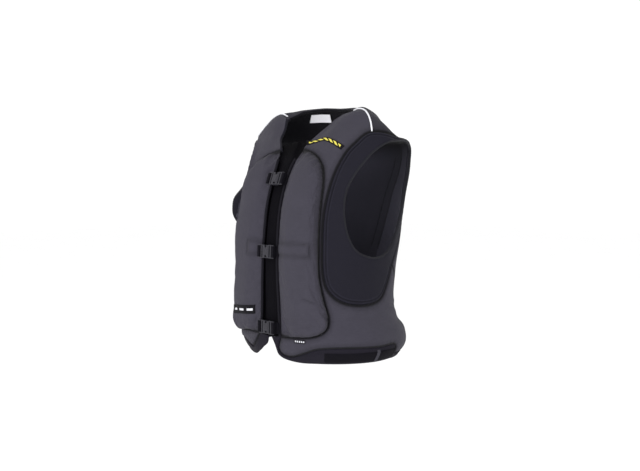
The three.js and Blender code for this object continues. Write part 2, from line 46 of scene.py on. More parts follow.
body = {
    # fall of the front yoke towards the neck: angle, rise of the neck edge there, drop at the edge
    "fall": np.array([[-1, -90, 0], [22.5, -90, 0], [28.7, -72, 2.4], [38.4, -52, 6], [50.9, -20, 11],
                      [62.9, 18, 15.5], [70, 38, 17], [79.7, 60, 13], [88, 74, 9], [95, 84, 2], [104, 92, 0],
                      [181, 93, 0]]),
    # stand of the collar behind the shoulder seams, more of it at the back, and its lean to the left
    "collar": 16.0, "collarBack": 5.0, "lean": 4.0,
    "tilt": 6.0, "droop": 15.0,   # how much higher the right shoulder sits, and lower the right pad's foot
    "saddle": 23.0, "swell": 8.5,   # hollow behind each shoulder seam, swell of the yoke before it
    "girth": 3.3,      # mm of cloth to a degree round the body
    # rise up the cloth, level, half width, depth to front, to back, squareness of front, of back
    "sections": np.array([
        [-562, -562, 190, 158, 164, 1.8, 2.2], [-538, -538, 204, 162, 174, 1.95, 2.3],
        [-510, -510, 206, 162, 170, 2.1, 2.3], [-497, -497, 204, 162, 163, 2.15, 2.3],
        [-482, -482, 198, 162, 144, 2.2, 2.3], [-445, -445, 190, 162, 127, 2.25, 2.3],
        [-370, -370, 190, 163, 133, 2.3, 2.3], [-290, -290, 198, 160, 150, 2.3, 2.3],
        [-200, -200, 206, 146, 166, 2.3, 2.3], [-120, -120, 213, 114, 184, 2.2, 2.3],
        [-70, -72, 215, 84, 182, 2.1, 2.2], [-30, -44, 199, 63, 147, 2, 2.1],
        [15, -20, 162, 48, 108, 2, 2], [60, 3, 120, 37, 84, 2, 2], [95, -8, 90, 32, 66, 2, 2]]),
}

# Seams of the left side: angle round from centre front, rise. Those named Other are the right side's own
seams = {
    "neck": [[90, 76], [79.7, 59], [70, 36], [62.9, 20], [51, -13], [38.6, -47], [29, -73], [22.5, -90]],
    "neckOther": [[90, 76], [79.7, 68], [70, 42], [62.9, 15], [51, -34], [38.6, -60], [29, -77], [22.5, -90]],
    "collar": [[90, 76], [97, 87], [108, 91.5], [130, 92], [155, 92], [180, 92]],
    "front": [[22.5, -90], [15.5, -116], [11.5, -150], [9.9, -200], [9.2, -250], [9.2, -300],
              [9.5, -350], [10.2, -400], [11, -450], [12, -505]],
    "padTop": [[22.5, -90], [29.5, -93.5], [36.5, -101], [42.5, -113], [46, -133]],
    "padShoulder": [[42.5, -113], [46, -133], [46.2, -165], [44.8, -200], [43.6, -238], [43, -300]],
    "padSide": [[44.8, -200], [43.6, -238], [42.8, -300], [43, -366], [46.3, -420], [49.5, -458], [48, -482]],
    "padFoot": [[46.3, -420], [49.5, -458], [47.5, -484], [39, -498], [26, -503], [12, -505]],
    "hem": [[12, -505], [9.3, -530], [13, -546], [22, -550], [33, -539], [43, -528], [60, -524],
            [84, -526], [97.5, -527], [102.5, -551], [118, -552]],
    "edge": [[1.6, -509], [6.2, -528], [9, -546], [15, -556], [28, -562], [44, -562], [62, -562],
             [84, -562], [97.5, -562], [102.5, -562], [118, -562]],
    "hemOther": [[12, -505], [15.5, -518], [19.5, -532], [25.5, -544], [33.5, -539], [43, -528], [60, -524],
                 [84, -526], [97.5, -527], [102.5, -551], [118, -552]],
    "edgeOther": [[1.6, -509], [3, -525], [8, -536], [14.5, -548.5], [25.5, -561], [44, -562], [62, -562],
                  [84, -562], [97.5, -562], [102.5, -562], [118, -562]],
    "side": [[118, -552], [119, -493], [118.6, -457], [116.8, -421], [112.3, -386], [102, -350]],
    "backPad": [[181, -38], [164, -41], [148, -58], [139.5, -98], [139, -150], [141, -210], [143.5, -280],
                [143.5, -350], [142, -420], [143, -470], [151, -500], [165, -511], [181, -513]],
}

# The black side panel lies between two rings: outer angle, outer rise, armhole angle, armhole rise
rings = np.array([
    [80, -48, 87, -80], [70, -78, 80, -96], [62, -106, 74.5, -116], [54.5, -146, 67.5, -147],
    [49.5, -190, 61.8, -182], [46.4, -238, 59.8, -222], [45.4, -300, 61, -262], [46, -366, 64, -292],
    [50.5, -403, 68, -311], [61, -426, 74, -322], [77, -432, 82, -328], [90, -421, 90, -324],
    [97, -388, 96.5, -309], [102, -350, 101.5, -286], [110, -306, 106, -256], [117.5, -258, 110, -226],
    [124.5, -205, 114, -190], [129, -155, 117, -152], [130, -112, 118.5, -119], [126, -79, 118, -93],
    [117, -62.5, 112.5, -79], [105, -57, 105, -72], [92, -54, 95, -74]], float)


def smooth(x, low, high):
    # 0 below low, 1 above high, cubic between
    t = np.clip((x - low) / (high - low), 0, 1)
    return t * t * (3 - 2 * t)


def bell(offset, width, other=0.0, otherWidth=1.0):
    # exp(-(offset / width)^2), times the same of the other offset
    return np.exp(-(offset / width) ** 2 - (other / otherWidth) ** 2)


def unit(v):
    # each vector over its length
    return v / np.maximum(np.linalg.norm(v, axis=-1, keepdims=True), 1e-9)


def runAlong(points, axis=0):
    # mm along a line of points, or along each line of a grid
    size = np.linalg.norm(np.diff(points, axis=axis), axis=-1)
    return np.concatenate([np.zeros_like(np.take(size, [0], axis)), np.cumsum(size, axis)], axis)


def clothOf(across, along, seam=noSeam):
    # the cloth attribute: mm across, mm along, mm to the nearest seam
    return np.stack(np.broadcast_arrays(across, along, seam), -1)


def readOff(table, place):
    # each further column of a table as a cubic Hermite curve of its first
    knot, value = table[:, 0], table[:, 1:]
    slope = np.gradient(value, knot, axis=0)
    k = np.clip(np.searchsorted(knot, place) - 1, 0, len(knot) - 2)
    span = (knot[k + 1] - knot[k])[..., None]
    t = (place - knot[k])[..., None] / span
    return (value[k] * (2 * t**3 - 3 * t**2 + 1) + value[k + 1] * (3 * t**2 - 2 * t**3)
            + span * slope[k] * (t**3 - 2 * t**2 + t) + span * slope[k + 1] * (t**3 - t**2))


def droopAt(fromFront, rise):
    # the foot of the right pad hangs lower at its outer corner
    return body["droop"] * bell(fromFront - 50, 16, rise + 500, 26)


def bodyPoint(angle, rise):
    # squared ellipse: reach = (|sin / halfWidth|^n + |cos / depth|^n)^(-1/n), front and back halves apart
    angle, rise = np.broadcast_arrays(np.asarray(angle, float), np.asarray(rise, float))
    level, wide, ahead, behind, squareF, squareB = np.moveaxis(readOff(body["sections"], rise), -1, 0)
    turn = np.radians(angle)
    side, fore = np.sin(turn), np.cos(turn)
    depth, n = np.where(fore > 0, ahead, behind), np.where(fore > 0, squareF, squareB)
    reach = ((np.abs(side) / wide) ** n + (np.abs(fore) / depth) ** n) ** (-1 / n)
    fromFront = np.minimum(np.abs(angle), np.abs(360 - angle))
    neckRise, drop = np.moveaxis(readOff(body["fall"], fromFront), -1, 0)
    dip = np.maximum(drop, 0) * smooth(rise, neckRise - 50, neckRise)
    stand = body["collar"] * smooth(fromFront, 84, 112) + body["collarBack"] * smooth(fromFront, 112, 150)
    stand = stand - body["lean"] * np.maximum(side, 0) * smooth(fromFront, 92, 108)
    higher = body["tilt"] * np.maximum(-side, 0) * smooth(rise, 0, 60) * smooth(fromFront, 45, 75)
    higher = higher * (1 - 0.9 * smooth(rise, 45, 76) * smooth(-fromFront, -128, -92))
    hollow = body["saddle"] * smooth(fromFront, 88, 104) * smooth(-fromFront, -170, -125)
    hollow = hollow * smooth(rise, -72, -20) * smooth(-rise, -32, 14)
    droop = droopAt(fromFront, rise) * (side < 0)
    swell = body["swell"] * bell(fromFront - 76, 14, rise - 16, 30)
    height = level - dip - hollow - droop + swell + higher + stand * smooth(rise, 45, 95)
    return np.stack([reach * side, -reach * fore, height], -1)


def outward(angle, rise):
    # across the cloth: the way round crossed with the way up
    round_ = bodyPoint(angle + 0.25, rise) - bodyPoint(angle - 0.25, rise)
    up = bodyPoint(angle, rise + 1.0) - bodyPoint(angle, rise - 1.0)
    return unit(np.cross(round_, up))


def bodyAt(at):
    # the body's surface at pairs of angle and rise
    return bodyPoint(at[..., 0], at[..., 1])


def outwardAt(at):
    # the way out of it there
    return outward(at[..., 0], at[..., 1])


def offPoint(at, height):
    # on the body, then out from it by the height
    return bodyAt(at) + outwardAt(at) * np.asarray(height, float)[..., None]


def catmull(p, t):
    # uniform Catmull-Rom span between p[1] and p[2]
    v0, v1 = (p[2] - p[0]) / 2, (p[3] - p[1]) / 2
    return ((2 * p[1] - 2 * p[2] + v0 + v1) * t**3 + (3 * p[2] - 3 * p[1] - 2 * v0 - v1) * t**2
            + v0 * t + p[1])


def seamLine(table, at, closed=False):
    # curve through the table's rows, at counted in rows
    knots = np.array(seams[table] if isinstance(table, str) else table, float)
    last = len(knots) - 1
    k = np.floor(at).astype(int)
    k = k if closed else np.clip(k, 0, last - 1)
    turn = (lambda j: j % len(knots)) if closed else (lambda j: np.clip(j, 0, last))
    return catmull([knots[turn(k + j)] for j in (-1, 0, 1, 2)], (at - k)[:, None])


def steps(first, last, count):
    # even steps, both ends kept
    return np.linspace(first, last, count + 1)


def crowded(count, pull=0.62):
    # 0 to 1, closer together near both ends, where the seams are
    t = steps(0, 1, count)
    return t - pull * np.sin(2 * np.pi * t) / (2 * np.pi)


def join(*lines):
    # lines end to end, the shared points once
    return np.concatenate([lines[0]] + [line[1:] for line in lines[1:]])


def straight(start, end, t):
    # start + (end - start) t
    return np.asarray(start) + (np.asarray(end) - np.asarray(start)) * np.asarray(t)[:, None]


def stretched(foot, head, left, right, s, t):
    # cloth patch between four seams: both pairs ruled and added, less the ruled corners
    s, t = s[None, :, None], t[:, None, None]
    corners = ((1 - s) * (1 - t) * foot[0] + s * (1 - t) * foot[-1]
               + (1 - s) * t * head[0] + s * t * head[-1])
    return (1 - t) * foot + t * head + (1 - s) * left[:, None] + s * right[:, None] - corners


def ruled(first, second, t):
    # a strip of straight lines from one seam to the other
    return first + (second - first) * np.asarray(t)[:, None, None]


def shifted(line, distance, closed=False):
    # moves a seam sideways over the cloth, to its left
    before, after = np.roll(line, 1, 0), np.roll(line, -1, 0)
    if closed:
        before[0], after[-1] = line[-2], line[1]
    else:
        before[0], after[-1] = line[0], line[-1]
    scale = np.linalg.norm(bodyAt(line)[:, :2], axis=-1) * np.pi / 180
    way = unit(np.stack([(after - before)[:, 0] * scale, (after - before)[:, 1]], -1))
    return line + np.stack([-way[:, 1] * distance / scale, way[:, 0] * distance], -1)


def nearest(points, line):
    # distance to a seam's chords, and the run along the seam to the nearest point
    flat = points.reshape(-1, 3)
    start, chord = line[:-1], np.diff(line, axis=0)
    size = np.maximum((chord**2).sum(-1), 1e-9)
    run = np.concatenate([[0], np.cumsum(np.sqrt(size))])[:-1]
    found = []
    for block in np.array_split(flat, len(flat) * len(start) // 2000000 + 1):
        gap = block[:, None] - start
        t = np.clip((gap * chord).sum(-1) / size, 0, 1)
        far = ((gap - t[..., None] * chord) ** 2).sum(-1)
        k, row = far.argmin(1), np.arange(len(block))
        found.append(np.stack([np.sqrt(far[row, k]), run[k] + t[row, k] * np.sqrt(size[k])], -1))
    found = np.concatenate(found).reshape(points.shape[:-1] + (2,))
    return found[..., 0], found[..., 1]


def onBody(line, step=3):
    # a seam's chords in space
    line = np.concatenate([line[:-1:step], line[-1:]])
    return bodyAt(line)


def drift(points, size):
    # slow unevenness of the cloth: crossing waves of unlike length
    x, y, z = np.moveaxis(points, -1, 0)
    waves = np.sin(x / 31 + 1.7 * np.sin(z / 57)) + np.sin(y / 27 + z / 45 + 2) + np.sin(z / 23 + x / 61 + 4)
    return size / 3 * waves


def creased(at, creases):
    # soft valleys along short lines on the cloth, with a low swell beside each and ends that fade
    flat, total = at * [body["girth"], 1], np.zeros(at.shape[:-1])
    for a0, r0, a1, r1, depth, width in creases:
        start, way = np.array([a0 * body["girth"], r0]), np.array([(a1 - a0) * body["girth"], r1 - r0])
        t = ((flat - start) @ way) / (way @ way)
        far = np.linalg.norm(flat - start - np.clip(t, 0, 1)[..., None] * way, axis=-1) / width
        valley = np.exp(-far**2) - 0.45 * np.exp(-((far - 2) / 1.1) ** 2)
        total -= depth * valley * smooth(t, -0.2, 0.3) * smooth(1 - t, -0.2, 0.3)
    return total


# Seams, sampled once so that neighbours share their points

# steps along each; neck, pad and upperPad together make as many as ring
seamSteps = {"across": 44, "neck": 40, "collar": 48, "pad": 64, "upperPad": 56, "front": 120, "ring": 160,
             "backPad": 240}
across = crowded(seamSteps["across"])
neck, neckOther = (seamLine(table, steps(0, 7, seamSteps["neck"])) for table in ("neck", "neckOther"))
collar = seamLine("collar", steps(0, 5, seamSteps["collar"]))
padHead = seamLine("padTop", steps(0, 4, seamSteps["pad"]))
padUpper = seamLine("padShoulder", steps(1, 4, seamSteps["upperPad"]))
padOuter, padFoot = (seamLine(table, steps(1, 5, seamSteps["pad"])) for table in ("padSide", "padFoot"))
front = seamLine("front", steps(0, 9, seamSteps["front"]))
ringRows = [steps(0, 5, seamSteps["ring"]), steps(5, 9, seamSteps["pad"]), steps(9, 13, seamSteps["pad"]),
            steps(13, 23, seamSteps["ring"])]
ringFront, ringStrip, ringFoot, ringBack = (seamLine(rings[:, :2], rows, True) for rows in ringRows)
ring = join(ringFront, ringStrip, ringFoot, ringBack)
hole = seamLine(rings[:, 2:], join(*ringRows), True)
hemRows = join(steps(0, 5.2, seamSteps["pad"]), 5.2 + 0.9 * across, steps(6.1, 10, seamSteps["pad"]))
hemFront, edgeFront, hemOther, edgeOther = (seamLine(table, hemRows) for table in
                                            ("hem", "edge", "hemOther", "edgeOther"))
lowerBack = seamLine("side", 5 * across)
neckPoint, tipPoint = neck[0], ringFront[0]
shoulder = straight(neckPoint, tipPoint, across)
backTurn = steps(118, 180, seamSteps["collar"])
hemBack, edgeBack = (np.stack([backTurn, np.full_like(backTurn, rise)], -1) for rise in (-552.0, -562.0))
backPadLine = seamLine("backPad", steps(0, 12, seamSteps["backPad"]))
padSeam = join(padHead, padUpper, padOuter, padFoot)
print("seams: ring of", len(ring), "points, front edge of", len(front))

# Materials

class Wire:
    # a socket that works as a number in Python expressions
    def __init__(self, tree, socket=None):
        self.tree, self.socket = tree, socket

    def node(self, kind, settings=None, values=None, out=0):
        # any node: its settings first, then the values or links of its sockets
        made = self.tree.nodes.new("ShaderNode" + kind)
        for name, value in (settings or {}).items():
            setattr(made, name, value)
        for name, value in (values or {}).items():
            if isinstance(value, Wire):
                self.tree.links.new(value.socket, made.inputs[name])
            else:
                made.inputs[name].default_value = value
        return Wire(self.tree, made.outputs[out])

    def math(self, operation, *values):
        # one Math node on numbers or sockets
        return self.node("Math", {"operation": operation}, dict(enumerate(values)))

    def __add__(self, other):
        return self.math("ADD", self, other)

    def __radd__(self, other):
        return self.math("ADD", other, self)

    def __sub__(self, other):
        return self.math("SUBTRACT", self, other)

    def __rsub__(self, other):
        return self.math("SUBTRACT", other, self)

    def __mul__(self, other):
        return self.math("MULTIPLY", self, other)

    def __rmul__(self, other):
        return self.math("MULTIPLY", other, self)

    def __mod__(self, other):
        return self.math("FLOORED_MODULO", self, other)

    def __abs__(self):
        return self.math("ABSOLUTE", self)

    def wave(self, length, shift=0.0):
        # sine of this many mm to a turn
        return self.math("SINE", self * (2 * math.pi / length) + shift)

    def ramp(self, low, high, start=0.0, end=1.0):
        # start below low, end above high, cubic between
        return self.node("MapRange", {"interpolation_type": "SMOOTHSTEP"}, {
            "Value": self, "From Min": low, "From Max": high, "To Min": start, "To Max": end})

    def mix(self, first, second):
        # colour between two, by this factor
        return self.node("Mix", {"data_type": "RGBA"}, {0: self, 6: first, 7: second}, out=2)

    def shade(self, colour):
        # a colour made lighter or darker by this number
        colour = colour if isinstance(colour, Wire) else colour[:3]
        return self.node("VectorMath", {"operation": "SCALE"}, {0: colour, "Scale": self})


def paint(red, green, blue):
    # screen colour, 0 to 255, as linear light
    c = np.array([red, green, blue]) / 255
    return tuple(float(v) for v in np.where(c <= 0.04045, c / 12.92, ((c + 0.055) / 1.055) ** 2.4)) + (1.0,)


def newFinish(name, sheen=0.0, gloss=0.07, **sockets):
    # a plain material, with the cloth attribute and its three parts ready
    material = bpy.data.materials.new(name)
    material.use_nodes = True
    shader = material.node_tree.nodes["Principled BSDF"]
    shader.inputs["Sheen Weight"].default_value = sheen
    shader.inputs["Specular IOR Level"].default_value = gloss
    for label, value in sockets.items():
        shader.inputs[label.replace("_", " ")].default_value = value
    start = Wire(material.node_tree)
    where = start.node("Attribute", {"attribute_name": "cloth"}, out="Vector")
    parts = [start.node("SeparateXYZ", None, {0: where}, out=k) for k in range(3)]
    return material, shader, where, parts


def finishOff(material, shader, colour, rough, height, bump, reach=0.0005):
    # links colour, roughness and a bump of the height; reach in m
    tree = material.node_tree
    tree.links.new(colour.socket, shader.inputs["Base Color"])
    tree.links.new(rough.socket, shader.inputs["Roughness"])
    normal = height.node("Bump", None, {"Height": height, "Strength": bump, "Distance": reach})
    tree.links.new(normal.socket, shader.inputs["Normal"])
    material.diffuse_color = (0.07, 0.07, 0.08, 1)
    return material


def speckle(where, scale, detail=3.0):
    # uneven dye and fibre, about 0.5 in the mean; scale is blots to a mm
    return where.node("TexNoise", {"noise_dimensions": "3D"}, {
        "Vector": where, "Scale": scale, "Detail": detail, "Roughness": 0.6})


# groove is the colour of the painted shade in the sewn grooves
shellLook = {"cloth": paint(51, 49, 58), "groove": paint(18, 17, 22), "thread": 1.7,
             "grooveShadeFrom": 2.0, "grooveShadeTo": 6.0, "seamShadeTo": 17.0,   # mm from a seam: painted groove shade full, painted groove shade gone, end of the painted shade beside the seam
             "yoke": 0.42,   # share of painted shade on the back yoke
             "wall": 3.0}    # mm


def shellCloth(name, yoke=0.0):
    # fine twill with slubs that run across and a mottled dye, with painted shade in and beside the sewn
    # grooves
    material, shader, where, (x, y, seam) = newFinish(name, sheen=0.04, gloss=0.12, Sheen_Roughness=0.55)
    look = shellLook
    twill = (x + y).wave(look["thread"]) * 0.6 + (x - y).wave(look["thread"]) * 0.4
    slub = speckle(x.node("CombineXYZ", None, {0: x * 0.06, 1: y * 0.75}), 1.0, 2.0)
    dye, cloud = speckle(where, 0.55), speckle(where, 0.03, 2.0)
    tone = twill * 0.08 + dye * 0.26 + slub * 0.34 + cloud * 0.22 + 0.59
    # painted shade, darker within a few mm of a seam
    tone = tone * seam.ramp(look["grooveShadeTo"] * 0.5, look["seamShadeTo"], 0.7, 1.0)
    # painted shade on the back yoke: darker from rise -95 up, by the full yoke share above -50
    if yoke:
        tone = tone * (1 - y.ramp(-95, -50) * yoke)
    # painted shade: the sewn grooves themselves turn to the groove colour
    groove = seam.ramp(look["grooveShadeFrom"], look["grooveShadeTo"], 1.0, 0.0)
    colour = tone.shade(groove.mix(look["cloth"], look["groove"]))
    relief = twill * 0.5 + dye * 0.9 + slub * 0.9
    return finishOff(material, shader, colour, dye * 0.2 + 0.68, relief, 0.55)


stretchLook = {"rib": 1.5, "course": 1.1}


def stretchKnit(name, cloth):
    # knit: upright ribs broken by short courses, with painted shade in the seam grooves and a painted
    # highlight beside them
    material, shader, where, (x, y, seam) = newFinish(name, sheen=0.03, Sheen_Roughness=0.4)
    rib = x.wave(stretchLook["rib"])
    loop = y.wave(stretchLook["course"]) * rib
    dye = speckle(where, 0.4)
    # painted shade in the outer seam's groove and along the fell, and a painted highlight on the strip
    # between them
    groove = seam.ramp(1.0, 3.2, 0.45, 1.0) * (seam.ramp(2.6, 4.0) * seam.ramp(4.6, 6.4, 1.0, 0.0) * 0.4 + 1)
    colour = ((rib * 0.07 + loop * 0.06 + dye * 0.3 + 0.85) * groove).shade(cloth)
    return finishOff(material, shader, colour, dye * 0.2 + 0.62, rib * 0.7 + loop * 0.6, 0.45, 0.0004)


liningLook = {"cloth": paint(50, 49, 59), "hole": paint(33, 32, 39), "pitch": 3.0}


def liningMesh():
    # warp knit mesh: small holes in staggered rows
    material, shader, where, (x, y, seam) = newFinish("blackMesh", sheen=0.05)
    p = liningLook["pitch"]
    row = x.wave(p) * y.wave(p) + (x + y * 0.5).wave(p * 2) * 0.25
    hole = row.ramp(0.25, 0.65)
    dye = speckle(where, 0.2)
    # painted shade inside the neck: darker above the armholes; darker also along the double seams
    tone = (dye * 0.5 + 0.75) * y.ramp(-120, -55, 1.0, 0.19) * seam.ramp(1.2, 3.2, 0.4, 1.0)
    tone = tone * seam.ramp(120, 180, 1.0, 1.8)   # the facing, whose seam value is set past any distance
    colour = tone.shade(hole.mix(liningLook["cloth"], liningLook["hole"]))
    return finishOff(material, shader, colour, dye * 0.15 + 0.78, 1 - hole, 0.5)


def tape(name, colour, rib, contrast, rough, sheen=0.0, gloss=0.03):
    # narrow woven tape: ribs across its length, with a tight edge
    material, shader, where, (x, y, seam) = newFinish(name, sheen=sheen, gloss=gloss, Sheen_Roughness=0.4)
    bar = y.wave(rib)
    warp = (x + y * 0.5).wave(rib * 1.3)
    dye = speckle(where, 0.5)
    # painted shade where the seam value is low; only the placket's top has such values
    tone = (bar * contrast + warp * contrast * 0.6 + dye * 0.3 + 0.85) * seam.ramp(0, 60, 0.5, 1.0)
    return finishOff(material, shader, tone.shade(colour), dye * 0.2 + rough, bar * 0.8 + warp * 0.5, 0.5)


plasticLook = {"colour": paint(40, 39, 45), "worn": paint(54, 53, 59)}


def mouldedPlastic():
    # spark-eroded mould grain, scuffed in places
    material, shader, where, _ = newFinish("mouldedPlastic", gloss=0.22)
    spot = where.node("TexCoord", out="Object")
    grain = spot.node("TexNoise", None, {"Vector": spot, "Scale": 2600.0, "Detail": 2.0})
    scuff = spot.node("TexNoise", None, {"Vector": spot, "Scale": 160.0, "Detail": 5.0, "Roughness": 0.65})
    colour = (grain * 0.2 + 0.9).shade(scuff.ramp(0.58, 0.72).mix(plasticLook["colour"], plasticLook["worn"]))
    return finishOff(material, shader, colour, scuff * 0.25 + 0.3, grain, 0.35, 0.00025)


def reflectiveCord():
    # glass bead cloth: tiny cells on a bright ground
    material, shader, where, _ = newFinish("whitePiping", sheen=0.1, gloss=0.4)
    cell = where.node("TexVoronoi", None, {"Vector": where, "Scale": 1.6}, out="Distance")
    dirt = speckle(where, 0.12)
    colour = (cell * -0.1 + dirt * 0.14 + 0.95).shade(paint(215, 215, 220))
    return finishOff(material, shader, colour, cell * 0.2 + 0.32, 1 - cell, 0.3, 0.0002)


def wovenLabel():
    # satin label: fine ribs, a turned border and blank field
    material, shader, where, (_, y, seam) = newFinish("whiteLabel", sheen=0.05)
    rib = y.wave(0.8)
    dye = speckle(where, 0.5)
    border = seam.ramp(1.0, 1.8, 0.86, 1.0)
    colour = ((rib * 0.04 + dye * 0.12 + 0.9) * border).shade(paint(250, 249, 255))
    return finishOff(material, shader, colour, dye * 0.2 + 0.5, rib + border, 0.4, 0.0003)


def barredPatch(name, mark, bars, edges, slant):
    # dark patch with plain raised bars; seam holds the run along the patch, 0 to 1
    material, shader, _, (x, y, run) = newFinish(name, sheen=0.03)
    weave = (x + y).wave(1.1) * 0.5 + (x - y).wave(1.1) * 0.5
    low, high = edges
    lean = run * bars + y * slant
    on = abs((lean % 1.0) - 0.5).ramp(0.27, 0.33, 1.0, 0.0)
    on = on * run.ramp(0.05, 0.06) * run.ramp(0.93, 0.94, 1.0, 0.0)
    on = on * y.ramp(low, low + 0.5) * y.ramp(high - 0.5, high, 1.0, 0.0)
    colour = (weave * 0.08 + 1.0).shade(on.mix(paint(13, 12, 17), mark))
    return finishOff(material, shader, colour, 0.75 - on * 0.2, weave * 0.4 + on * 1.5, 0.5)


looks = {
    # the back's copy of the shell, with painted shade on its yoke
    "shell": shellCloth("greySoftshell"), "shadedBackShell": shellCloth("backSoftshellPaintedShade", shellLook["yoke"]),
    "stretch": stretchKnit("blackStretch", paint(25, 24, 32)),
    "hem": stretchKnit("hemStretch", paint(25, 23, 31)),
    "facing": stretchKnit("facingKnit", paint(86, 85, 96)), "lining": liningMesh(),
    "trim": tape("bindingTape", paint(29, 29, 34), 1.0, 0.06, 0.5, 0.04, 0.1),
    "edging": tape("edgeTape", paint(24, 23, 28), 1.0, 0.06, 0.5),
    "placket": tape("placketTwill", paint(11, 10, 14), 1.3, 0.07, 0.6),
    "keeper": tape("keeperTape", paint(58, 57, 64), 1.0, 0.06, 0.5),
    "webbing": tape("blackWebbing", paint(16, 15, 20), 1.7, 0.16, 0.52),
    "plastic": mouldedPlastic(), "piping": reflectiveCord(), "label": wovenLabel(),
    "thread": tape("sewingThread", paint(36, 35, 41), 0.5, 0.12, 0.5),
    "chestBars": barredPatch("yellowBarPatch", paint(205, 194, 84), 7.0, (-3.4, 3.0), 0.12),
    "padBars": barredPatch("whiteBarPatch", paint(205, 205, 210), 3.0, (-3.0, 2.6), 0.0),
    "tagBars": barredPatch("smallBarTag", paint(195, 195, 202), 5.0, (-2.0, 2.0), 0.0),
}
print("finishes:", len(looks))

# Making pieces

def sheetOf(at, height, seam=noSeam):
    # cloth at a height over the body
    return {"points": offPoint(at, height), "out": outwardAt(at),
            "cloth": clothOf(at[..., 0] * body["girth"], at[..., 1], seam)}


def otherSide(sheet):
    # mirrored in x
    flip = np.array([-1.0, 1, 1])
    made = dict(sheet, points=sheet["points"] * flip)
    if "out" in sheet:
        made["out"] = sheet["out"] * flip
    return made


def sew(name, sheets, finishes, thick=0.0, offset=-1.0, closed=False, divide=0):
    # grids of points become one mesh, with shared edges merged; thick gives the cloth a wall
    points, cloth, faces, look, start = [], [], [], [], 0
    for sheet in sheets:
        p = sheet["points"]
        index = start + np.arange(p.shape[0] * p.shape[1]).reshape(p.shape[:2])
        quads = np.stack([index[:-1, :-1], index[:-1, 1:], index[1:, 1:], index[1:, :-1]], -1).reshape(-1, 4)
        if "out" in sheet:
            face = np.cross(p[:-1, 1:] - p[:-1, :-1], p[1:, :-1] - p[:-1, :-1])
            quads = quads if (face * sheet["out"][:-1, :-1]).sum() > 0 else quads[:, ::-1]
        points.append(p.reshape(-1, 3))
        cloth.append(np.broadcast_to(sheet["cloth"], p.shape).reshape(-1, 3))
        faces.append(quads)
        look.append(np.broadcast_to(sheet.get("look", 0), (p.shape[0] - 1, p.shape[1] - 1)).reshape(-1))
        start += index.size
    mesh = bpy.data.meshes.new(name)
    mesh.from_pydata((np.concatenate(points) * mm).tolist(), [], np.concatenate(faces).tolist())
    places = mesh.attributes.new("cloth", "FLOAT_VECTOR", "POINT")
    places.data.foreach_set("vector", np.concatenate(cloth).ravel())
    mesh.polygons.foreach_set("material_index", np.concatenate(look).astype(np.int32))
    shape = bmesh.new()
    shape.from_mesh(mesh)
    bmesh.ops.remove_doubles(shape, verts=shape.verts, dist=2e-5)
    if closed:
        bmesh.ops.recalc_face_normals(shape, faces=shape.faces)
    shape.to_mesh(mesh)
    shape.free()
    mesh.polygons.foreach_set("use_smooth", np.ones(len(mesh.polygons), bool))
    for finish in finishes:
        mesh.materials.append(looks[finish])
    piece = bpy.data.objects.new(name, mesh)
    scene.collection.objects.link(piece)
    if divide:
        finer = piece.modifiers.new("finer", "SUBSURF")
        finer.levels = finer.render_levels = divide
    if thick:
        wall = piece.modifiers.new("wall", "SOLIDIFY")
        wall.thickness, wall.offset, wall.material_offset = thick * mm, offset, len(finishes) - 1
    return piece


def fit(piece, slot, *nodes):
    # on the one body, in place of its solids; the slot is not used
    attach(piece, "root")
    if nodes:
        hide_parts(*nodes)
    return piece


def clothSheet(piece, sheet):
    # works out the area between the cloth's edges, and keeps nothing
    p = sheet["points"] * mm
    area = np.linalg.norm(np.cross(p[1:, 1:] - p[:-1, :-1], p[1:, :-1] - p[:-1, 1:]), axis=-1).sum() / 2


def rolledEdge(edge, inner, out, cloth, radius, facing, grey):
    # half round turned over an open edge, then a short way down the inside
    away = unit(edge - inner)
    theta = steps(0, np.pi, 10)[:, None, None]
    turn = edge - out * radius + radius * (out * np.cos(theta) + away * np.sin(theta))
    down = turn[-1] - away * steps(0, facing, 4)[1:, None, None] - out * steps(0, 0.8, 4)[1:, None, None]
    points = np.concatenate([turn, down])
    run = np.concatenate([theta * radius, np.pi * radius + steps(0, facing, 4)[1:, None, None]])
    side = np.concatenate([out * np.cos(theta) + away * np.sin(theta), -out + 0 * down])
    dark = np.repeat((np.arange(len(points) - 1) > grey).astype(int)[:, None], len(edge) - 1, 1)
    cloth = cloth + np.concatenate([0 * run, run, 0 * run], -1)
    return {"points": points, "out": side, "cloth": cloth, "look": dark}


def loopOf(table, count):
    # closed smooth profile through a few points
    knots = np.array(table, float)
    return seamLine(knots, steps(0, len(knots), count), True)


def band(first, second, profile, ends=True, lift=0.0):
    # profile carried along a pair of seams: first column the way from one to the other, second the height
    way, height = profile[:, 0], profile[:, 1]
    at = ruled(first, second, way)
    points = offPoint(at, np.broadcast_to(height[:, None] + lift, at.shape[:-1]))
    cloth = clothOf(runAlong(points[:, 0])[:, None], runAlong(points[0])[None])
    if ends:
        cap = [np.repeat(points[:, k].mean(0)[None, None], len(points), 0) for k in (0, -1)]
        points = np.concatenate([cap[0], points, cap[1]], 1)
        cloth = np.concatenate([cloth[:, :1], cloth, cloth[:, -1:]], 1)
    return {"points": points, "cloth": cloth}


# Front panels: shoulder yoke, narrow strip beside the pad and hip, in one piece

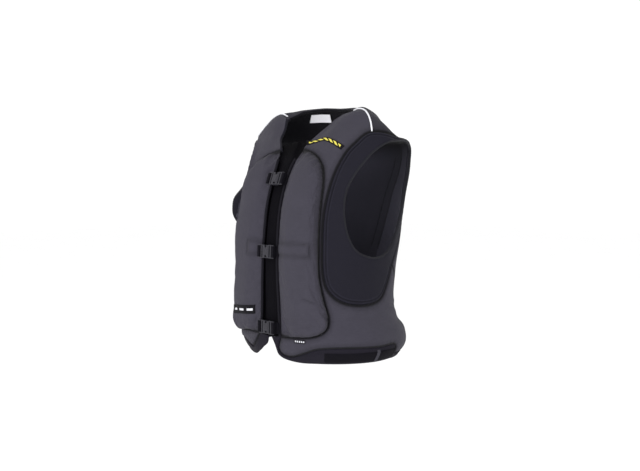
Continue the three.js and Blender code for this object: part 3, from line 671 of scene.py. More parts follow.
frontRelief = {
    "puff": 2.4, "softness": 15.0,     # wadding between the seams
    "groove": 2.8, "grooveWidth": 3.4,  # sewn-down edge
    "roll": 4.4, "facing": 6.0,        # radius of the neck edge, cloth turned in behind it
    "sideSeam": 1.3, "pucker": 0.3, "puckerLength": 13.0, "drift": 0.7,
    "swell": 6.5, "hipSwell": 2.5,     # right side alone
    # angle and rise of one end, of the other, depth, width
    "creases": [(101, -436, 116, -452, 2.2, 6.0), (92, -447, 108, -463, 1.0, 8.0),
                (60, -455, 84, -461, 0.7, 12.0), (66, -498, 96, -503, 0.8, 14.0), (84, 8, 78, -30, 0.8, 9.0)],
}
padSeamChords, ringChords = onBody(padSeam), onBody(ring)
hemChords, hemOtherChords, sideChords = onBody(join(hemFront, hemBack)), onBody(hemOther), onBody(lowerBack)
neckChords, neckOtherChords = onBody(join(neck[::-1], collar)), onBody(neckOther)
backPadChords = onBody(backPadLine)


def panelHeight(at, chords, relief, openEdge):
    # puffed between the seams, pulled down and slightly puckered along them
    points = bodyAt(at)
    edge, run = np.full(at.shape[:-1], 1e9), np.zeros(at.shape[:-1])
    for line in chords:
        far, along = nearest(points, line)
        edge, run = np.where(far < edge, far, edge), np.where(far < edge, along, run)
    side, _ = nearest(points, sideChords)
    free = np.minimum(edge, nearest(points, openEdge)[0])
    gather = np.sin(2 * np.pi * run / relief["puckerLength"] + 2.2 * np.sin(run / 29)) * bell(edge - 7, 5)
    height = relief["puff"] * (1 - np.exp(-free / relief["softness"])) + relief["pucker"] * gather
    height = height - relief["groove"] * bell(edge, relief["grooveWidth"])
    height = height - relief["sideSeam"] * bell(side, 2.4)
    height = height + drift(points, relief["drift"]) * smooth(edge, 2, 30) + creased(at, relief["creases"])
    return height, np.minimum(edge, 1.4 + side * 0.9)


def frontHeight(at, hem=hemChords, openEdge=neckChords):
    # the front panel's relief between the pad, the side panel and the hem
    return panelHeight(at, (padSeamChords, ringChords, hem), frontRelief, openEdge)


def rightHeight(at):
    # the right yoke swells over its seam with the side panel, and the hip a little below the pad
    height, seam = frontHeight(at, hemOtherChords, neckOtherChords)
    far, _ = nearest(bodyAt(at), ringChords)
    swell = frontRelief["swell"] * bell(far - 8, 9) * smooth(far, 0, 6)
    hip = frontRelief["hipSwell"] * bell(at[..., 0] - 44, 9, at[..., 1] + 516, 18)
    return height + hip + swell * smooth(at[..., 1], -200, -150) * smooth(-at[..., 1], 35, 110), seam


def frontPanel(neckLine, hemLine, heightOf, side):
    # three patches that share their seams, and the neck edge rolled over
    narrow = straight(padOuter[0], ringStrip[0], across)
    foot = straight(padOuter[-1], ringStrip[-1], across)
    up = steps(0, 1, seamSteps["ring"])
    yoke = stretched(shoulder, narrow, join(neckLine, padHead, padUpper), ringFront, across, up)
    strip = stretched(narrow, foot, padOuter, ringStrip, across, steps(0, 1, seamSteps["pad"]))
    s = join(steps(0, 8, seamSteps["pad"]), 8 + 5 * across, steps(13, 21, seamSteps["pad"])) / 21
    corner = np.repeat(hemLine[:1], len(across), 0)
    hip = stretched(hemLine, join(padFoot[::-1], foot, ringFoot), corner, lowerBack, s, across)
    sheets = [sheetOf(at * [side, 1], *heightOf(at)) for at in (yoke, strip, hip)]
    edge = slice(0, seamSteps["neck"] + 1)
    points, out, cloth = (sheets[0][key] for key in ("points", "out", "cloth"))
    sheets.append(rolledEdge(points[edge, 0], points[edge, 2], out[edge, 0], cloth[edge, 0],
                             frontRelief["roll"], frontRelief["facing"], 1))
    return sheets


for side, sheets in (("left", frontPanel(neck, hemFront, frontHeight, 1)),
                     ("right", frontPanel(neckOther, hemOther, rightHeight, -1))):
    piece = sew(f"frontPanel_{side}", sheets, ["shell", "stretch"], shellLook["wall"])
    fit(piece, "shell", f"front_panel_{side}")
print("front panels sewn")

# Back, with a raised pad sewn like the chest pads

backRelief = dict(frontRelief, pad=7.0, padGroove=2.6, roll=3.2, columns=64, creases=[
    (118, -440, 136, -450, 2.0, 7.0), (124, -468, 140, -474, 1.0, 8.0)])


def backCentre(outer, top):
    # middle of the back, nearly level with the points of a side line
    even = straight([180, outer[0, 1]], [180, top], steps(0, 1, len(outer) - 1))
    centre = even * 0.25 + np.stack([np.full(len(outer), 180.0), outer[:, 1]], -1) * 0.75
    centre[:, 1] += (top - centre[-1, 1]) * steps(0, 1, len(outer) - 1) ** 4
    return centre


def bothHalves(half, height, seam):
    # the left half and its mirror, joined at the centre
    left, right = (sheetOf(at, height, seam) for at in (half, half * [-1, 1] + [360, 0]))
    right["cloth"] = left["cloth"]
    return {key: np.concatenate([left[key], right[key][:, -2::-1]], 1) for key in ("points", "out", "cloth")}


def finer(line, count):
    # the same line with more points
    t = steps(0, 1, len(line) - 1)
    return np.stack([np.interp(steps(0, 1, count), t, line[:, k]) for k in (0, 1)], -1)


def insideOf(at, line):
    # even-odd rule on the cloth's own plane, all points at once for each chord of the line
    x, y, inside = at[..., 0], at[..., 1], np.zeros(at.shape[:-1], bool)
    loop = np.concatenate([line[::4], line[-1:], [[190, line[-1, 1]], [190, line[0, 1]]], line[:1]])
    for (x0, y0), (x1, y1) in zip(loop[:-1], loop[1:]):
        if y0 != y1:
            inside ^= ((y0 > y) != (y1 > y)) & (x < x0 + (y - y0) * (x1 - x0) / (y1 - y0))
    return inside


def backPanel():
    # from hem to collar between the sides and the centre, raised inside the back pad's seam
    outer = join(finer(lowerBack, 2 * len(lowerBack)), ringBack, shoulder[::-1])
    columns = backRelief["columns"]
    s, t = steps(0, 1, columns), steps(0, 1, len(outer) - 1)
    centre = backCentre(outer, collar[-1, 1])
    half = stretched(finer(hemBack, columns), finer(collar, columns), outer, centre, s, t)
    height, seam = panelHeight(half, (ringChords, hemChords), backRelief, neckChords)
    far, _ = nearest(bodyAt(half), backPadChords)
    raised = np.where(insideOf(half, backPadLine), backRelief["pad"] * (1 - np.exp(-far / 16)) ** 0.6, 0)
    height = height + raised - backRelief["padGroove"] * bell(far, 3.0)
    full = bothHalves(half, height, np.minimum(seam, far))
    edge = (full["points"][-1], full["points"][-3], full["out"][-1], full["cloth"][-1])
    return [full, rolledEdge(*edge, backRelief["roll"], backRelief["facing"], 1)]


piece = sew("backPanel", backPanel(), ["shadedBackShell", "lining"], shellLook["wall"])
fit(piece, "shell", "back_panel")
print("back sewn")

# Chest pads: pinned along their seam and blown up as cloth

padLook = {
    "grid": (56, 108), "crowd": 0.5,   # columns and rows, pull towards the seams
    "edge": -2.8, "rise": 26.0, "start": 0.88,   # seam depth, crown height, share of it before the air
    "pressure": 4.0, "slack": -0.012, "frames": 20, "cap": 5.0,
    "quality": 6, "mass": 0.25, "stretch": 12, "shear": 6, "bend": 0.4,
    # channel: angles and rises; swells: angle, rise, height, width, length
    "left": {"channel": (-5, 40.0, -298, -324), "swells": [], "creases": [
        (33, -412, 44.5, -424, 2.2, 3.2), (14, -462, 33, -468, 1.0, 6.0), (22, -482, 42, -474, 0.9, 7.0)]},
    "right": {"channel": (-5, 22.0, -296, -326), "creases": [
        (20, -430, 40, -436, 0.8, 7.0), (14, -478, 34, -484, 0.8, 6.0), (16, -372, 38, -366, 0.5, 9.0)],
        "swells": [(48, -488, 14.0, 32.0, 24.0), (46, -410, 4.0, 30.0, 70.0), (46, -222, -8.0, 34.0, 36.0)]},
}


def padPatch(count, rows):
    # the pad's own four seams, with crowded points along all of them
    s, t = crowded(count, padLook["crowd"]), crowded(rows, padLook["crowd"])
    split = 8 / 15
    outer = np.concatenate([seamLine("padSide", 5 - 4 * t[t <= split] / split),
                            seamLine("padShoulder", 4 - 3 * (t[t > split] - split) / (1 - split))])
    foot, head = seamLine("padFoot", 5 - 4 * s), seamLine("padTop", 4 * s)
    return stretched(foot, head, seamLine("front", 9 * (1 - t)), outer, s, t), s, t


def crown(s, t):
    # gentle towards the front opening and the head, thicker and boxy at the outer seam and the foot
    u, v = np.abs(2 * s - 1), np.abs(2 * t - 1)
    shape = np.where(s < 0.5, 1 - u**2.4, np.sqrt(np.maximum(1 - u**8, 0)))
    shape = shape * (0.7 + 0.3 * smooth(s, 0.3, 0.85))
    return shape[None] * np.sqrt(np.maximum(1 - v ** np.where(t > 0.5, 5.0, 14.0), 0))[:, None]


def blowUp(piece, pinned, settings):
    # air pressure on the pinned cloth; no point goes further than the cap
    mesh = piece.data
    start = np.empty(len(mesh.vertices) * 3)
    mesh.vertices.foreach_get("co", start)
    group = piece.vertex_groups.new(name="sewnEdge")
    group.add(np.flatnonzero(pinned).tolist(), 1.0, "REPLACE")
    air = piece.modifiers.new("air", "CLOTH")
    cloth = air.settings
    cloth.quality, cloth.mass, cloth.vertex_group_mass = settings["quality"], settings["mass"], group.name
    cloth.tension_stiffness = cloth.compression_stiffness = settings["stretch"]
    cloth.shear_stiffness, cloth.bending_stiffness = settings["shear"], settings["bend"]
    cloth.use_pressure, cloth.uniform_pressure_force = True, settings["pressure"]
    cloth.shrink_min, cloth.effector_weights.gravity = settings["slack"], 0
    air.collision_settings.use_collision = False
    air.point_cache.frame_start, air.point_cache.frame_end = 1, settings["frames"]
    for step in range(1, settings["frames"] + 1):
        scene.frame_set(step)
    blown = piece.evaluated_get(bpy.context.evaluated_depsgraph_get()).to_mesh()
    end = np.empty_like(start)
    blown.vertices.foreach_get("co", end)
    move = (end - start).reshape(-1, 3)
    size = np.linalg.norm(move, axis=-1, keepdims=True)
    move *= np.minimum(1, settings["cap"] * mm / np.maximum(size, 1e-9))
    piece.modifiers.remove(air)
    scene.frame_set(1)
    return start.reshape(-1, 3) / mm + move / mm, float(size.max() / mm)


def chestPad():
    # crowned patch, blown up
    at, s, t = padPatch(*padLook["grid"])
    height = padLook["edge"] + padLook["rise"] * padLook["start"] * crown(s, t)
    first = sheetOf(at, height)
    trial = sew("padTrial", [first], ["shell"])
    pinned = np.zeros(at.shape[:2], bool)
    pinned[[0, -1]] = pinned[:, [0, -1]] = True
    blown, most = blowUp(trial, pinned.ravel(), padLook)
    print(f"pad blown up, furthest point {most:.1f} mm")
    bpy.data.objects.remove(trial)
    return at, dict(first, points=blown.reshape(at.shape[:2] + (3,)))


def gridNormal(points):
    # the grid's two ways crossed
    return unit(np.cross(np.gradient(points, axis=1), np.gradient(points, axis=0)))


def padRelief(at, sheet, notes):
    # sewn strap channel, puckers and creases, and painted shade along the seam, the channel and the creases
    out = gridNormal(sheet["points"])
    out = out * np.sign((out * sheet["out"]).sum(-1, keepdims=True))
    a0, a1, r0, r1 = notes["channel"]
    low, high = min(r0, r1), max(r0, r1)
    y = np.abs(at[..., 1] - (low + high) / 2) - (high - low) / 2
    deep = np.maximum((np.abs(at[..., 0] - (a0 + a1) / 2) - (a1 - a0) / 2) * body["girth"], y)
    channel = 1.2 * smooth(-deep, -0.5, 2.0) - 1.7 * bell(deep, 1.5)
    edge, run = nearest(sheet["points"], np.concatenate([sheet["points"][0], sheet["points"][:, -1],
                                                         sheet["points"][-1, ::-1]]))
    gather = 0.35 * np.sin(2 * np.pi * run / 15 + 2.4 * np.sin(run / 33)) * bell(edge - 9, 6)
    folds = creased(at, notes["creases"])
    height = channel + gather + folds + drift(sheet["points"], 0.6) * smooth(edge, 4, 30)
    for a, r, size, wide, tall in notes["swells"]:
        shape = bell((at[..., 0] - a) * body["girth"], wide, at[..., 1] - r, tall)
        height = height + size * smooth(edge, 0, 6) * shape
    # the seam distance drives painted shade: wider along the upper seams, and along the strap channel's
    # stitching
    seam = np.minimum(edge * (1 - 0.45 * smooth(at[..., 1], -190, -120)), np.abs(deep) * 1.3 + 4.2)
    seam = np.minimum(seam, 17 - 5 * np.maximum(-folds, 0))   # painted shade in the creases
    return dict(sheet, points=sheet["points"] + out * height[..., None],
                cloth=np.concatenate([sheet["cloth"][..., :2], seam[..., None]], -1))


padAt, padSheet = chestPad()
padLeft, padRight = (padRelief(padAt, padSheet, padLook[side]) for side in ("left", "right"))
padSheets = {"left": padLeft, "right": otherSide(padRight)}
padDroop = droopAt(padAt[..., 0], padAt[..., 1])
padSheets["right"]["points"] = padSheets["right"]["points"] - padDroop[..., None] * [0, 0, 1]
for side, sheet in padSheets.items():
    piece = sew(f"chestPad_{side}", [sheet], ["shell", "lining"], shellLook["wall"], divide=1)
    fit(piece, "shell", f"chest_pad_{side}")
print("chest pads done")

# Side panels of stretch knit, with a felled seam inside their outer edge

sideLook = {"groove": 2.8, "fell": 8.0, "fellDepth": 1.7, "bindingWidth": 3.9, "thick": 2.6,
            "belly": 23.0, "flat": 4.0}   # right side alone
bindingHem = shifted(hole, -sideLook["bindingWidth"], True)


def sideHeight(at):
    # sewn groove at the edge, a second one along the fell, faint gathers and drift inside
    points = bodyAt(at)
    edge, run = nearest(points, ringChords)
    height = 1.2 * (1 - np.exp(-edge / 8)) - sideLook["groove"] * bell(edge, 2.8)
    height = height - sideLook["fellDepth"] * bell(edge - sideLook["fell"], 1.5)
    height = height + 0.25 * np.sin(2 * np.pi * run / 17 + 2 * np.sin(run / 41)) * bell(edge - 13, 7)
    height = height + drift(points, 0.8) * smooth(edge, 8, 30)
    return height, np.minimum(edge, np.abs(edge - sideLook["fell"]) + 1.2)


def slackAt(at):
    # the right side hangs looser: it bellies out at mid armhole and lies flat above
    edge, _ = nearest(bodyAt(at), ringChords)
    front = smooth(-at[..., 0], -92, -76)
    belly = sideLook["belly"] * np.exp(-np.abs((at[..., 1] + 223) / 40) ** 3) * smooth(edge, 3, 24)
    upper = smooth(at[..., 1], -180, -145) * smooth(-at[..., 1], 55, 75)
    return front * (belly - sideLook["flat"] * upper * smooth(edge, 1, 16))


sidePatch = ruled(bindingHem, ring, 1 - crowded(25)[::-1])
sideRise, sideSeam = sideHeight(sidePatch)
sideSheets = {"left": sheetOf(sidePatch, sideRise, sideSeam),
              "right": otherSide(sheetOf(sidePatch, sideRise + slackAt(sidePatch), sideSeam))}
armProfile = loopOf([(0, 0.2), (0.05, 1.3), (0.3, 1.7), (0.62, 1.6), (0.9, 0.9), (1.0, -1.2), (0.92, -3.4),
                     (0.6, -4.4), (0.2, -4.2), (0.02, -3.0)], 30)
armBands = {"left": band(bindingHem, hole, armProfile, ends=False),
            "right": otherSide(band(bindingHem, hole, armProfile, ends=False, lift=slackAt(bindingHem)))}
for side in ("left", "right"):
    piece = sew(f"sidePanel_{side}", [sideSheets[side]], ["stretch", "facing"], sideLook["thick"])
    fit(piece, "stretch", f"side_panel_{side}")
    clothSheet(piece, sideSheets[side])
    piece = sew(f"armholeBinding_{side}", [armBands[side]], ["trim"], closed=True)
    fit(piece, "trim", f"armhole_binding_{side}")
print("sides and armholes done")

# Lining, placket and the bound front edges

liningCut = {"height": -5.2, "thick": 1.3, "drift": 0.6, "columns": 48, "frontGrid": (110, 30),
             # double seam down the back, how far its two rows stand apart
             "double": [[141.5, -105], [145.5, -180], [149, -250], [152.5, -318]], "apart": 9.0,
             "facing": 199.0}   # seam value that the finish shows as the paler facing


def liningSeams(at, lines):
    # felled double seam: two stitched valleys either side of a low strip
    points = bodyAt(at)
    height, seam = np.zeros(at.shape[:-1]), np.full(at.shape[:-1], noSeam)
    for line in lines:
        far, _ = nearest(points, onBody(line, 1))
        height, seam = height + 1.1 * bell(far, 1.6), np.minimum(seam, far)
    return height, seam


def backLining():
    # from the side panels' seam to the collar, just inside the back
    outer = join(ringBack, shoulder[::-1])[::2]
    s, t = steps(0, 1, liningCut["columns"]), steps(0, 1, len(outer) - 1)
    top = collar - [0, 2.5]
    outer[-1] = top[0]
    centre = backCentre(outer, top[-1, 1])
    half = stretched(straight(outer[0], centre[0], s), top, outer, centre, s, t)
    one = seamLine(liningCut["double"], steps(0, 3, 40))
    two = one + [liningCut["apart"], 0]
    dip, seam = liningSeams(half, (one, two))
    outside = half[..., 0] < np.interp(half[..., 1], one[::-1, 1], one[::-1, 0]) - 0.8
    seam = np.where(outside & (seam > 4) & (half[..., 1] < -60), liningCut["facing"], seam)
    return bothHalves(half, liningCut["height"] + dip + drift(bodyAt(half), liningCut["drift"]), seam)


def frontLining(neckLine, side):
    # ruled between the front edge and the side panel's seam
    rows, columns = liningCut["frontGrid"]
    inner, outer = (line[np.linspace(0, len(line) - 1, rows).round().astype(int)] for line in
                    (join(neckLine, front)[2:], join(ringFront, padOuter)))
    at = ruled(inner, outer, steps(0.02, 0.99, columns))
    return sheetOf(at * [side, 1], liningCut["height"] + drift(bodyAt(at), liningCut["drift"]))


sheet = backLining()
piece = sew("backLining", [sheet], ["lining"], liningCut["thick"])
clothSheet(fit(piece, "lining", "back_lining"), sheet)
for side, sheet in (("left", frontLining(neck, 1)), ("right", frontLining(neckOther, -1))):
    piece = sew(f"frontLining_{side}", [sheet], ["lining"], liningCut["thick"])
    clothSheet(fit(piece, "lining", f"front_lining_{side}"), sheet)

placketLook = {"reach": 13.5, "flare": 16.0, "rises": (-508, -66), "depth": -4.4, "tuck": 4.5, "thick": 1.6,
               "grid": (48, 110)}


def placket():
    # flat strip with a slow wave across it and a pressed fold down each side
    columns, rows = placketLook["grid"]
    s, t = np.meshgrid(steps(-1, 1, columns), steps(0, 1, rows))
    low, high = placketLook["rises"]
    foot = low - 5 * smooth(np.abs(s), 0.25, 0.8)
    rise = foot + (high - foot) * t
    flare = smooth(rise, -175, -110) + 0.75 * smooth(rise, -98, -66)
    wide = placketLook["reach"] + placketLook["flare"] * flare
    at = np.stack([s * wide, rise], -1)
    off = np.abs(at[..., 0])
    wave = 0.4 * np.sin(rise / 37 + at[..., 0] * 0.2) - 0.9 * bell(off - 4.6, 0.4)
    shade = noSeam * smooth(-rise, 75, 150)   # painted shade, darker towards the neck
    return sheetOf(at, placketLook["depth"] + wave - placketLook["tuck"] * smooth(off, 5.5, 9.0), shade)


sheet = placket()
piece = sew("placketStrip", [sheet], ["placket"], placketLook["thick"])
clothSheet(fit(piece, "lining", "placket"), sheet)

frontBinding = {"width": 6.4, "firstRow": 12}
edgeLine = front[frontBinding["firstRow"]:]
edgeProfile = loopOf([(0, -0.9), (0.06, 0.7), (0.3, 1.6), (0.6, 1.7), (0.86, 0.8), (1.0, -1.2),
                      (0.9, -2.8), (0.5, -3.0), (0.1, -2.6)], 36)
edgeBand = band(shifted(edgeLine, -frontBinding["width"]), edgeLine, edgeProfile)
for side, sheet in (("left", edgeBand), ("right", otherSide(edgeBand))):
    fit(sew(f"frontEdge_{side}", [sheet], ["edging"], closed=True), "trim", f"front_edge_binding_{side}")
print("lining and front edges done")

# Hem band, its strap and keepers

hemProfile = loopOf([(1.0, -2.6), (0.94, -0.6), (0.86, 0.5), (0.7, 0.9), (0.4, 0.9), (0.16, 0.8),
                     (0.04, 0.0), (0.0, -1.5), (0.05, -2.9), (0.3, -3.5), (0.7, -3.5), (0.95, -3.4)], 40)
hemPairs = [(join(edge, edgeBack), join(seam, hemBack)) for edge, seam in
            ((edgeFront, hemFront), (edgeOther, hemOther))]
hemSheets = [band(*pair, hemProfile) for pair in hemPairs]
# no cap at the centre back, where the halves meet
hemSheets = [{key: sheet[key][:, :-1] for key in ("points", "cloth")} for sheet in hemSheets]
fit(sew("hemBand", [hemSheets[0], otherSide(hemSheets[1])], ["hem"], closed=True), "stretch", "hem_band")

strapLook = {"angles": (46.5, 99.5), "rises": (-556, -534), "lift": 1.6, "thick": 1.4}
keeperLook = {"angles": (81.8, 84.0), "foot": -559.5, "tall": 29, "low": 0.9, "arch": 2.4, "thick": 1.0}


def ribbon(at, height):
    # woven strap, its cloth measured on the strap itself
    sheet = sheetOf(at, height)
    return dict(sheet, cloth=clothOf(runAlong(sheet["points"]), runAlong(sheet["points"], 1)))


def waistStrap():
    # flat with rounded edges and a slow wave, its front end tucked under
    t = crowded(14)
    rise = strapLook["rises"][0] + t * np.diff(strapLook["rises"])
    at = np.stack(np.meshgrid(steps(*strapLook["angles"], 150), rise), -1)
    edge = np.minimum(t, 1 - t)[:, None]
    tuck = strapLook["lift"] * bell(at[..., 0] - strapLook["angles"][0], 0.7)
    wave = 0.25 * np.sin(at[..., 0] / 4.1)
    return ribbon(at, strapLook["lift"] + 0.5 * smooth(edge, 0, 0.12) - tuck + wave)


def strapKeeper():
    # narrow loop sewn down above and below the strap, arching over it
    t = steps(0, 1, 40)
    rise = keeperLook["foot"] + keeperLook["tall"] * t
    at = np.stack(np.meshgrid(steps(*keeperLook["angles"], 8), rise), -1)
    arch = keeperLook["low"] + keeperLook["arch"] * smooth(t, 0.02, 0.14) * smooth(1 - t, 0.02, 0.14)
    return ribbon(at, np.broadcast_to(arch[:, None], at.shape[:-1]))


for side, turn in (("left", lambda sheet: sheet), ("right", otherSide)):
    piece = sew(f"waistStrap_{side}", [turn(waistStrap())], ["webbing"], strapLook["thick"])
    fit(piece, "webbing", f"waist_strap_{side}")
    piece = sew(f"strapKeeper_{side}", [turn(strapKeeper())], ["keeper"], keeperLook["thick"])
    fit(piece, "trim", f"strap_keeper_{side}")
print("hem done")

# White piping on the shoulder seams

pipingLook = {"radius": 1.8, "lift": 3.2}


def piping(turn, end):
    # round cord along the seam, closed at both ends by shrinking rings
    t = steps(0, 1, 60)
    line = straight(neckPoint + [0, -1], tipPoint + [0, end], t) * [turn, 1]
    spine = offPoint(line, pipingLook["lift"] + np.zeros(len(line)))
    way = unit(np.gradient(spine, axis=0))
    out = outwardAt(line)
    out = unit(out - way * (out * way).sum(-1, keepdims=True))
    side = np.cross(way, out)
    radius = pipingLook["radius"] * np.sqrt(np.minimum(1, np.minimum(t, 1 - t) * 24))
    theta = steps(0, 2 * np.pi, 20)[:, None, None]
    points = spine + radius[:, None] * (out * np.cos(theta) + side * np.sin(theta))
    return {"points": points, "cloth": clothOf(theta[..., 0] * 2.1, runAlong(spine)[None])}


for side, sheet in (("left", piping(1, -3)), ("right", piping(-1, 5))):
    piece = sew(f"shoulderPiping_{side}", [sheet], ["piping"], closed=True)
    fit(piece, "reflective", f"shoulder_piping_{side}")
print("piping done")

# Side-release buckles: x across the body, y up, z out of the cloth

buckleLook = {
    "rises": {"top": -160, "middle": -318, "bottom": -487},
    "floor": 4.9, "top": 13.3, "bar": 22.25, "barThick": 4.2, "webbing": 25.0, "webbingThick": 1.2,
}


def roundBlock(x0, x1, y0, y1, z0, z1, r):
    # block with rounded edges: a ball's eight parts moved out to the corners, flat faces between
    quarter = steps(0, np.pi / 2, 4)
    u = np.concatenate([quarter + k * np.pi / 2 for k in range(4)] + [[2 * np.pi]])
    sx = np.concatenate([np.repeat([1, -1, -1, 1], 5), [1]])
    sy = np.concatenate([np.repeat([1, 1, -1, -1], 5), [1]])
    v = np.concatenate([quarter - np.pi / 2, quarter])
    sz = np.repeat([-1, 1], 5)
    half = np.array([x1 - x0, y1 - y0, z1 - z0]) / 2
    r = min(r, half.min() * 0.98)
    ball = np.stack(np.broadcast_arrays(np.cos(v)[:, None] * np.cos(u), np.cos(v)[:, None] * np.sin(u),
                                        np.sin(v)[:, None]), -1)
    corner = np.stack(np.broadcast_arrays(sx[None], sy[None], sz[:, None]), -1) * (half - r)
    points = corner + r * ball
    pole = np.repeat([[[0, 0, -half[2]]], [[0, 0, half[2]]]], points.shape[1], 1)
    points = np.concatenate([pole[:1], points, pole[1:]])
    return points + np.array([x0 + x1, y0 + y1, z0 + z1]) / 2


def socketBlocks():
    # plate with a notch above and a window below for the prongs, then two slots and the end bar
    low, high = buckleLook["floor"], buckleLook["top"]
    thin = high - buckleLook["barThick"]
    blocks = [(-10.6, -3.6, -14.6, 14.6, low, high, 1.4), (2.6, 6, -14.6, 14.6, low, high, 1.2),
              (-4.6, 3.6, -8.6, 9.2, low, high, 1.2), (-4.4, 3.4, -14.6, -12.4, low + 1, high - 0.3, 0.9),
              (-8.6, 4.6, -5.4, 5.8, high - 1, high + 0.5, 0.8),
              (-16.6, -13.4, -14, 14, thin, high - 0.4, 1.1),
              (-24, -20.2, -15, 15, thin - 1, high - 0.5, 1.4)]
    for y in (-13.9, 13.9):
        blocks.append((-23.4, -9.6, y - 1.1, y + 1.1, thin, high - 0.5, 0.9))
    return blocks


def plugBlocks():
    # shoulder flush with the socket, two slots between bars, and the two prongs inside
    low, high = buckleLook["floor"], buckleLook["top"]
    thin = high - buckleLook["barThick"]
    blocks = [(6.3, 9.6, -14.8, 14.8, low + 0.5, high - 0.2, 1.2),
              (13.2, 17.2, -14, 14, thin, high - 0.4, 1.2), (20.6, 24, -15, 15, thin - 1, high - 0.6, 1.3)]
    for y in (-1, 1):
        span = lambda a, b: (a, b) if y > 0 else (-b, -a)
        blocks.append((8.6, 23.4, *span(12.8, 15), thin, high - 0.5, 0.9))
        blocks.append((-3.4, 8, *span(9.6, 12.2), low + 0.3, high - 4.6, 0.9))
    return blocks


def strapSheet(reach):
    # webbing from the front edge, up through the slot and back over the end bar; corners cut three times
    bar = buckleLook["bar"]
    route = np.array([[reach, 3.95], [bar - 2.6, 3.95], [bar - 3.2, 4.6], [bar - 3.2, 13.2],
                      [bar - 2.4, 14.3], [bar + 2.3, 14.3], [bar + 3.1, 13.2], [bar + 3.1, 5.2]])
    for _ in range(3):
        first, second = route[:-1], route[1:]
        cut = np.stack([first * 0.75 + second * 0.25, first * 0.25 + second * 0.75], 1).reshape(-1, 2)
        route = np.concatenate([route[:1], cut, route[-1:]])
    y = buckleLook["webbing"] * (crowded(12) - 0.5)
    points = np.stack(np.broadcast_arrays(route[:, None, 0], y[None], route[:, None, 1]), -1)
    return points, clothOf(y[None], runAlong(route)[:, None])


def frontAngle(rise):
    # angle of the front edge at a rise
    return float(np.interp(-rise, -front[:, 1], front[:, 0]))


def onFront(rise):
    # frame of a buckle lying on the front edges: across, up, out, and its middle
    out = outward(np.array(0.0), np.array(float(rise)))
    side = np.array([1.0, 0, 0])
    middle = bodyPoint(0, rise)
    middle = middle + out * ((bodyPoint(frontAngle(rise) * 0.7, rise) - middle) @ out)
    return np.stack([side, np.cross(out, side), out]), middle


for name, rise in buckleLook["rises"].items():
    turn, middle = onFront(rise)
    for part, blocks in (("socket", socketBlocks()), ("plug", plugBlocks())):
        sheets = [{"points": roundBlock(*block) @ turn + middle, "cloth": np.zeros(3)} for block in blocks]
        fit(sew(f"buckle_{part}_{name}", sheets, ["plastic"], closed=True), "buckle", f"buckle_{part}_{name}")
    points, cloth = strapSheet(bodyPoint(frontAngle(rise), rise)[0] - 0.4)
    for side, flip in (("left", 1), ("right", -1)):
        sheet = {"points": (points * [flip, 1, 1]) @ turn + middle, "cloth": cloth}
        piece = sew(f"buckleStrap_{side}_{name}", [sheet], ["webbing"], buckleLook["webbingThick"], 0.0)
        fit(piece, "webbing", f"buckle_strap_{side}_{name}")
print("buckles done")

# Badges, labels and the pull tab, all blank or with plain bars

badgeLook = {"chest": [[26, -74], [38, -68.5], [49, -67.5], [56, -75.5], [62, -91]],
             "half": 6.0, "lift": 1.2, "thick": 1.0,
             "tag": (25, 33.5, -515, -507.5), "tagLift": 1.3, "tagThick": 0.8,   # angles and rises
             "label": (205.5, 235, 30, 58), "labelDepth": -8.6, "labelThick": 0.5,
             # shares of the pad's width, rise at its inner edge, fall across it, half height
             "padBadge": (0.12, 0.72, -450, -19, 10.3), "padLift": 1.4, "padThick": 0.9}
tabLook = {"angle": -52.0, "rise": -424.0, "thick": 0.8,
           # where it starts and ends out of the cloth, half height, radius of the fold
           "root": 0.8, "reach": 10.6, "half": 12.6, "fold": 0.75}


def badgeCloth(points):
    # mm along, mm across from the middle, and the share of its length
    wide, long = runAlong(points), runAlong(points, 1)
    return np.stack([long, wide - wide[-1:] / 2, long / long[:, -1:]], -1)


def patch(at, height):
    # cloth at a height, with a badge's own lengths on it
    sheet = sheetOf(at, height)
    return dict(sheet, cloth=badgeCloth(sheet["points"]))


middle = seamLine(badgeLook["chest"], steps(0, 4, 90))
t = steps(0, 1, 16)
badgeAt = ruled(shifted(middle, -badgeLook["half"]), shifted(middle, badgeLook["half"]), t)
badgeHeight = frontHeight(badgeAt)[0]
rim = np.minimum(t, 1 - t)[:, None]
badgeSheet = patch(badgeAt, badgeHeight + badgeLook["lift"] * smooth(rim, -0.06, 0.08))
fit(sew("chestBadge", [badgeSheet], ["chestBars"], badgeLook["thick"]), "webbing", "chest_badge")

a0, a1, r0, r1 = badgeLook["tag"]
tagAt = np.stack(np.meshgrid(steps(a0, a1, 30), steps(r0, r1, 10)), -1)
tagSheet = patch(tagAt, frontHeight(tagAt)[0] + badgeLook["tagLift"])
fit(sew("hemTag", [tagSheet], ["tagBars"], badgeLook["tagThick"]), "label", "hem_tag")

a0, a1, r0, r1 = badgeLook["label"]
labelAt = np.stack(np.meshgrid(steps(a0, a1, 60), steps(r0, r1, 36)), -1)
s, t = steps(0, 1, 60)[None], steps(0, 1, 36)[:, None]
curl = 1.2 * (1 - t) ** 2 + 0.5 * np.sin(s * 7 + 1)
labelSheet = ribbon(labelAt, badgeLook["labelDepth"] - curl)
border = np.minimum(np.minimum(s, 1 - s) * 55, np.minimum(t, 1 - t) * 25)
labelSheet["cloth"][..., 2] = border
fit(sew("neckLabel", [labelSheet], ["label"], badgeLook["labelThick"]), "label", "neck_label")


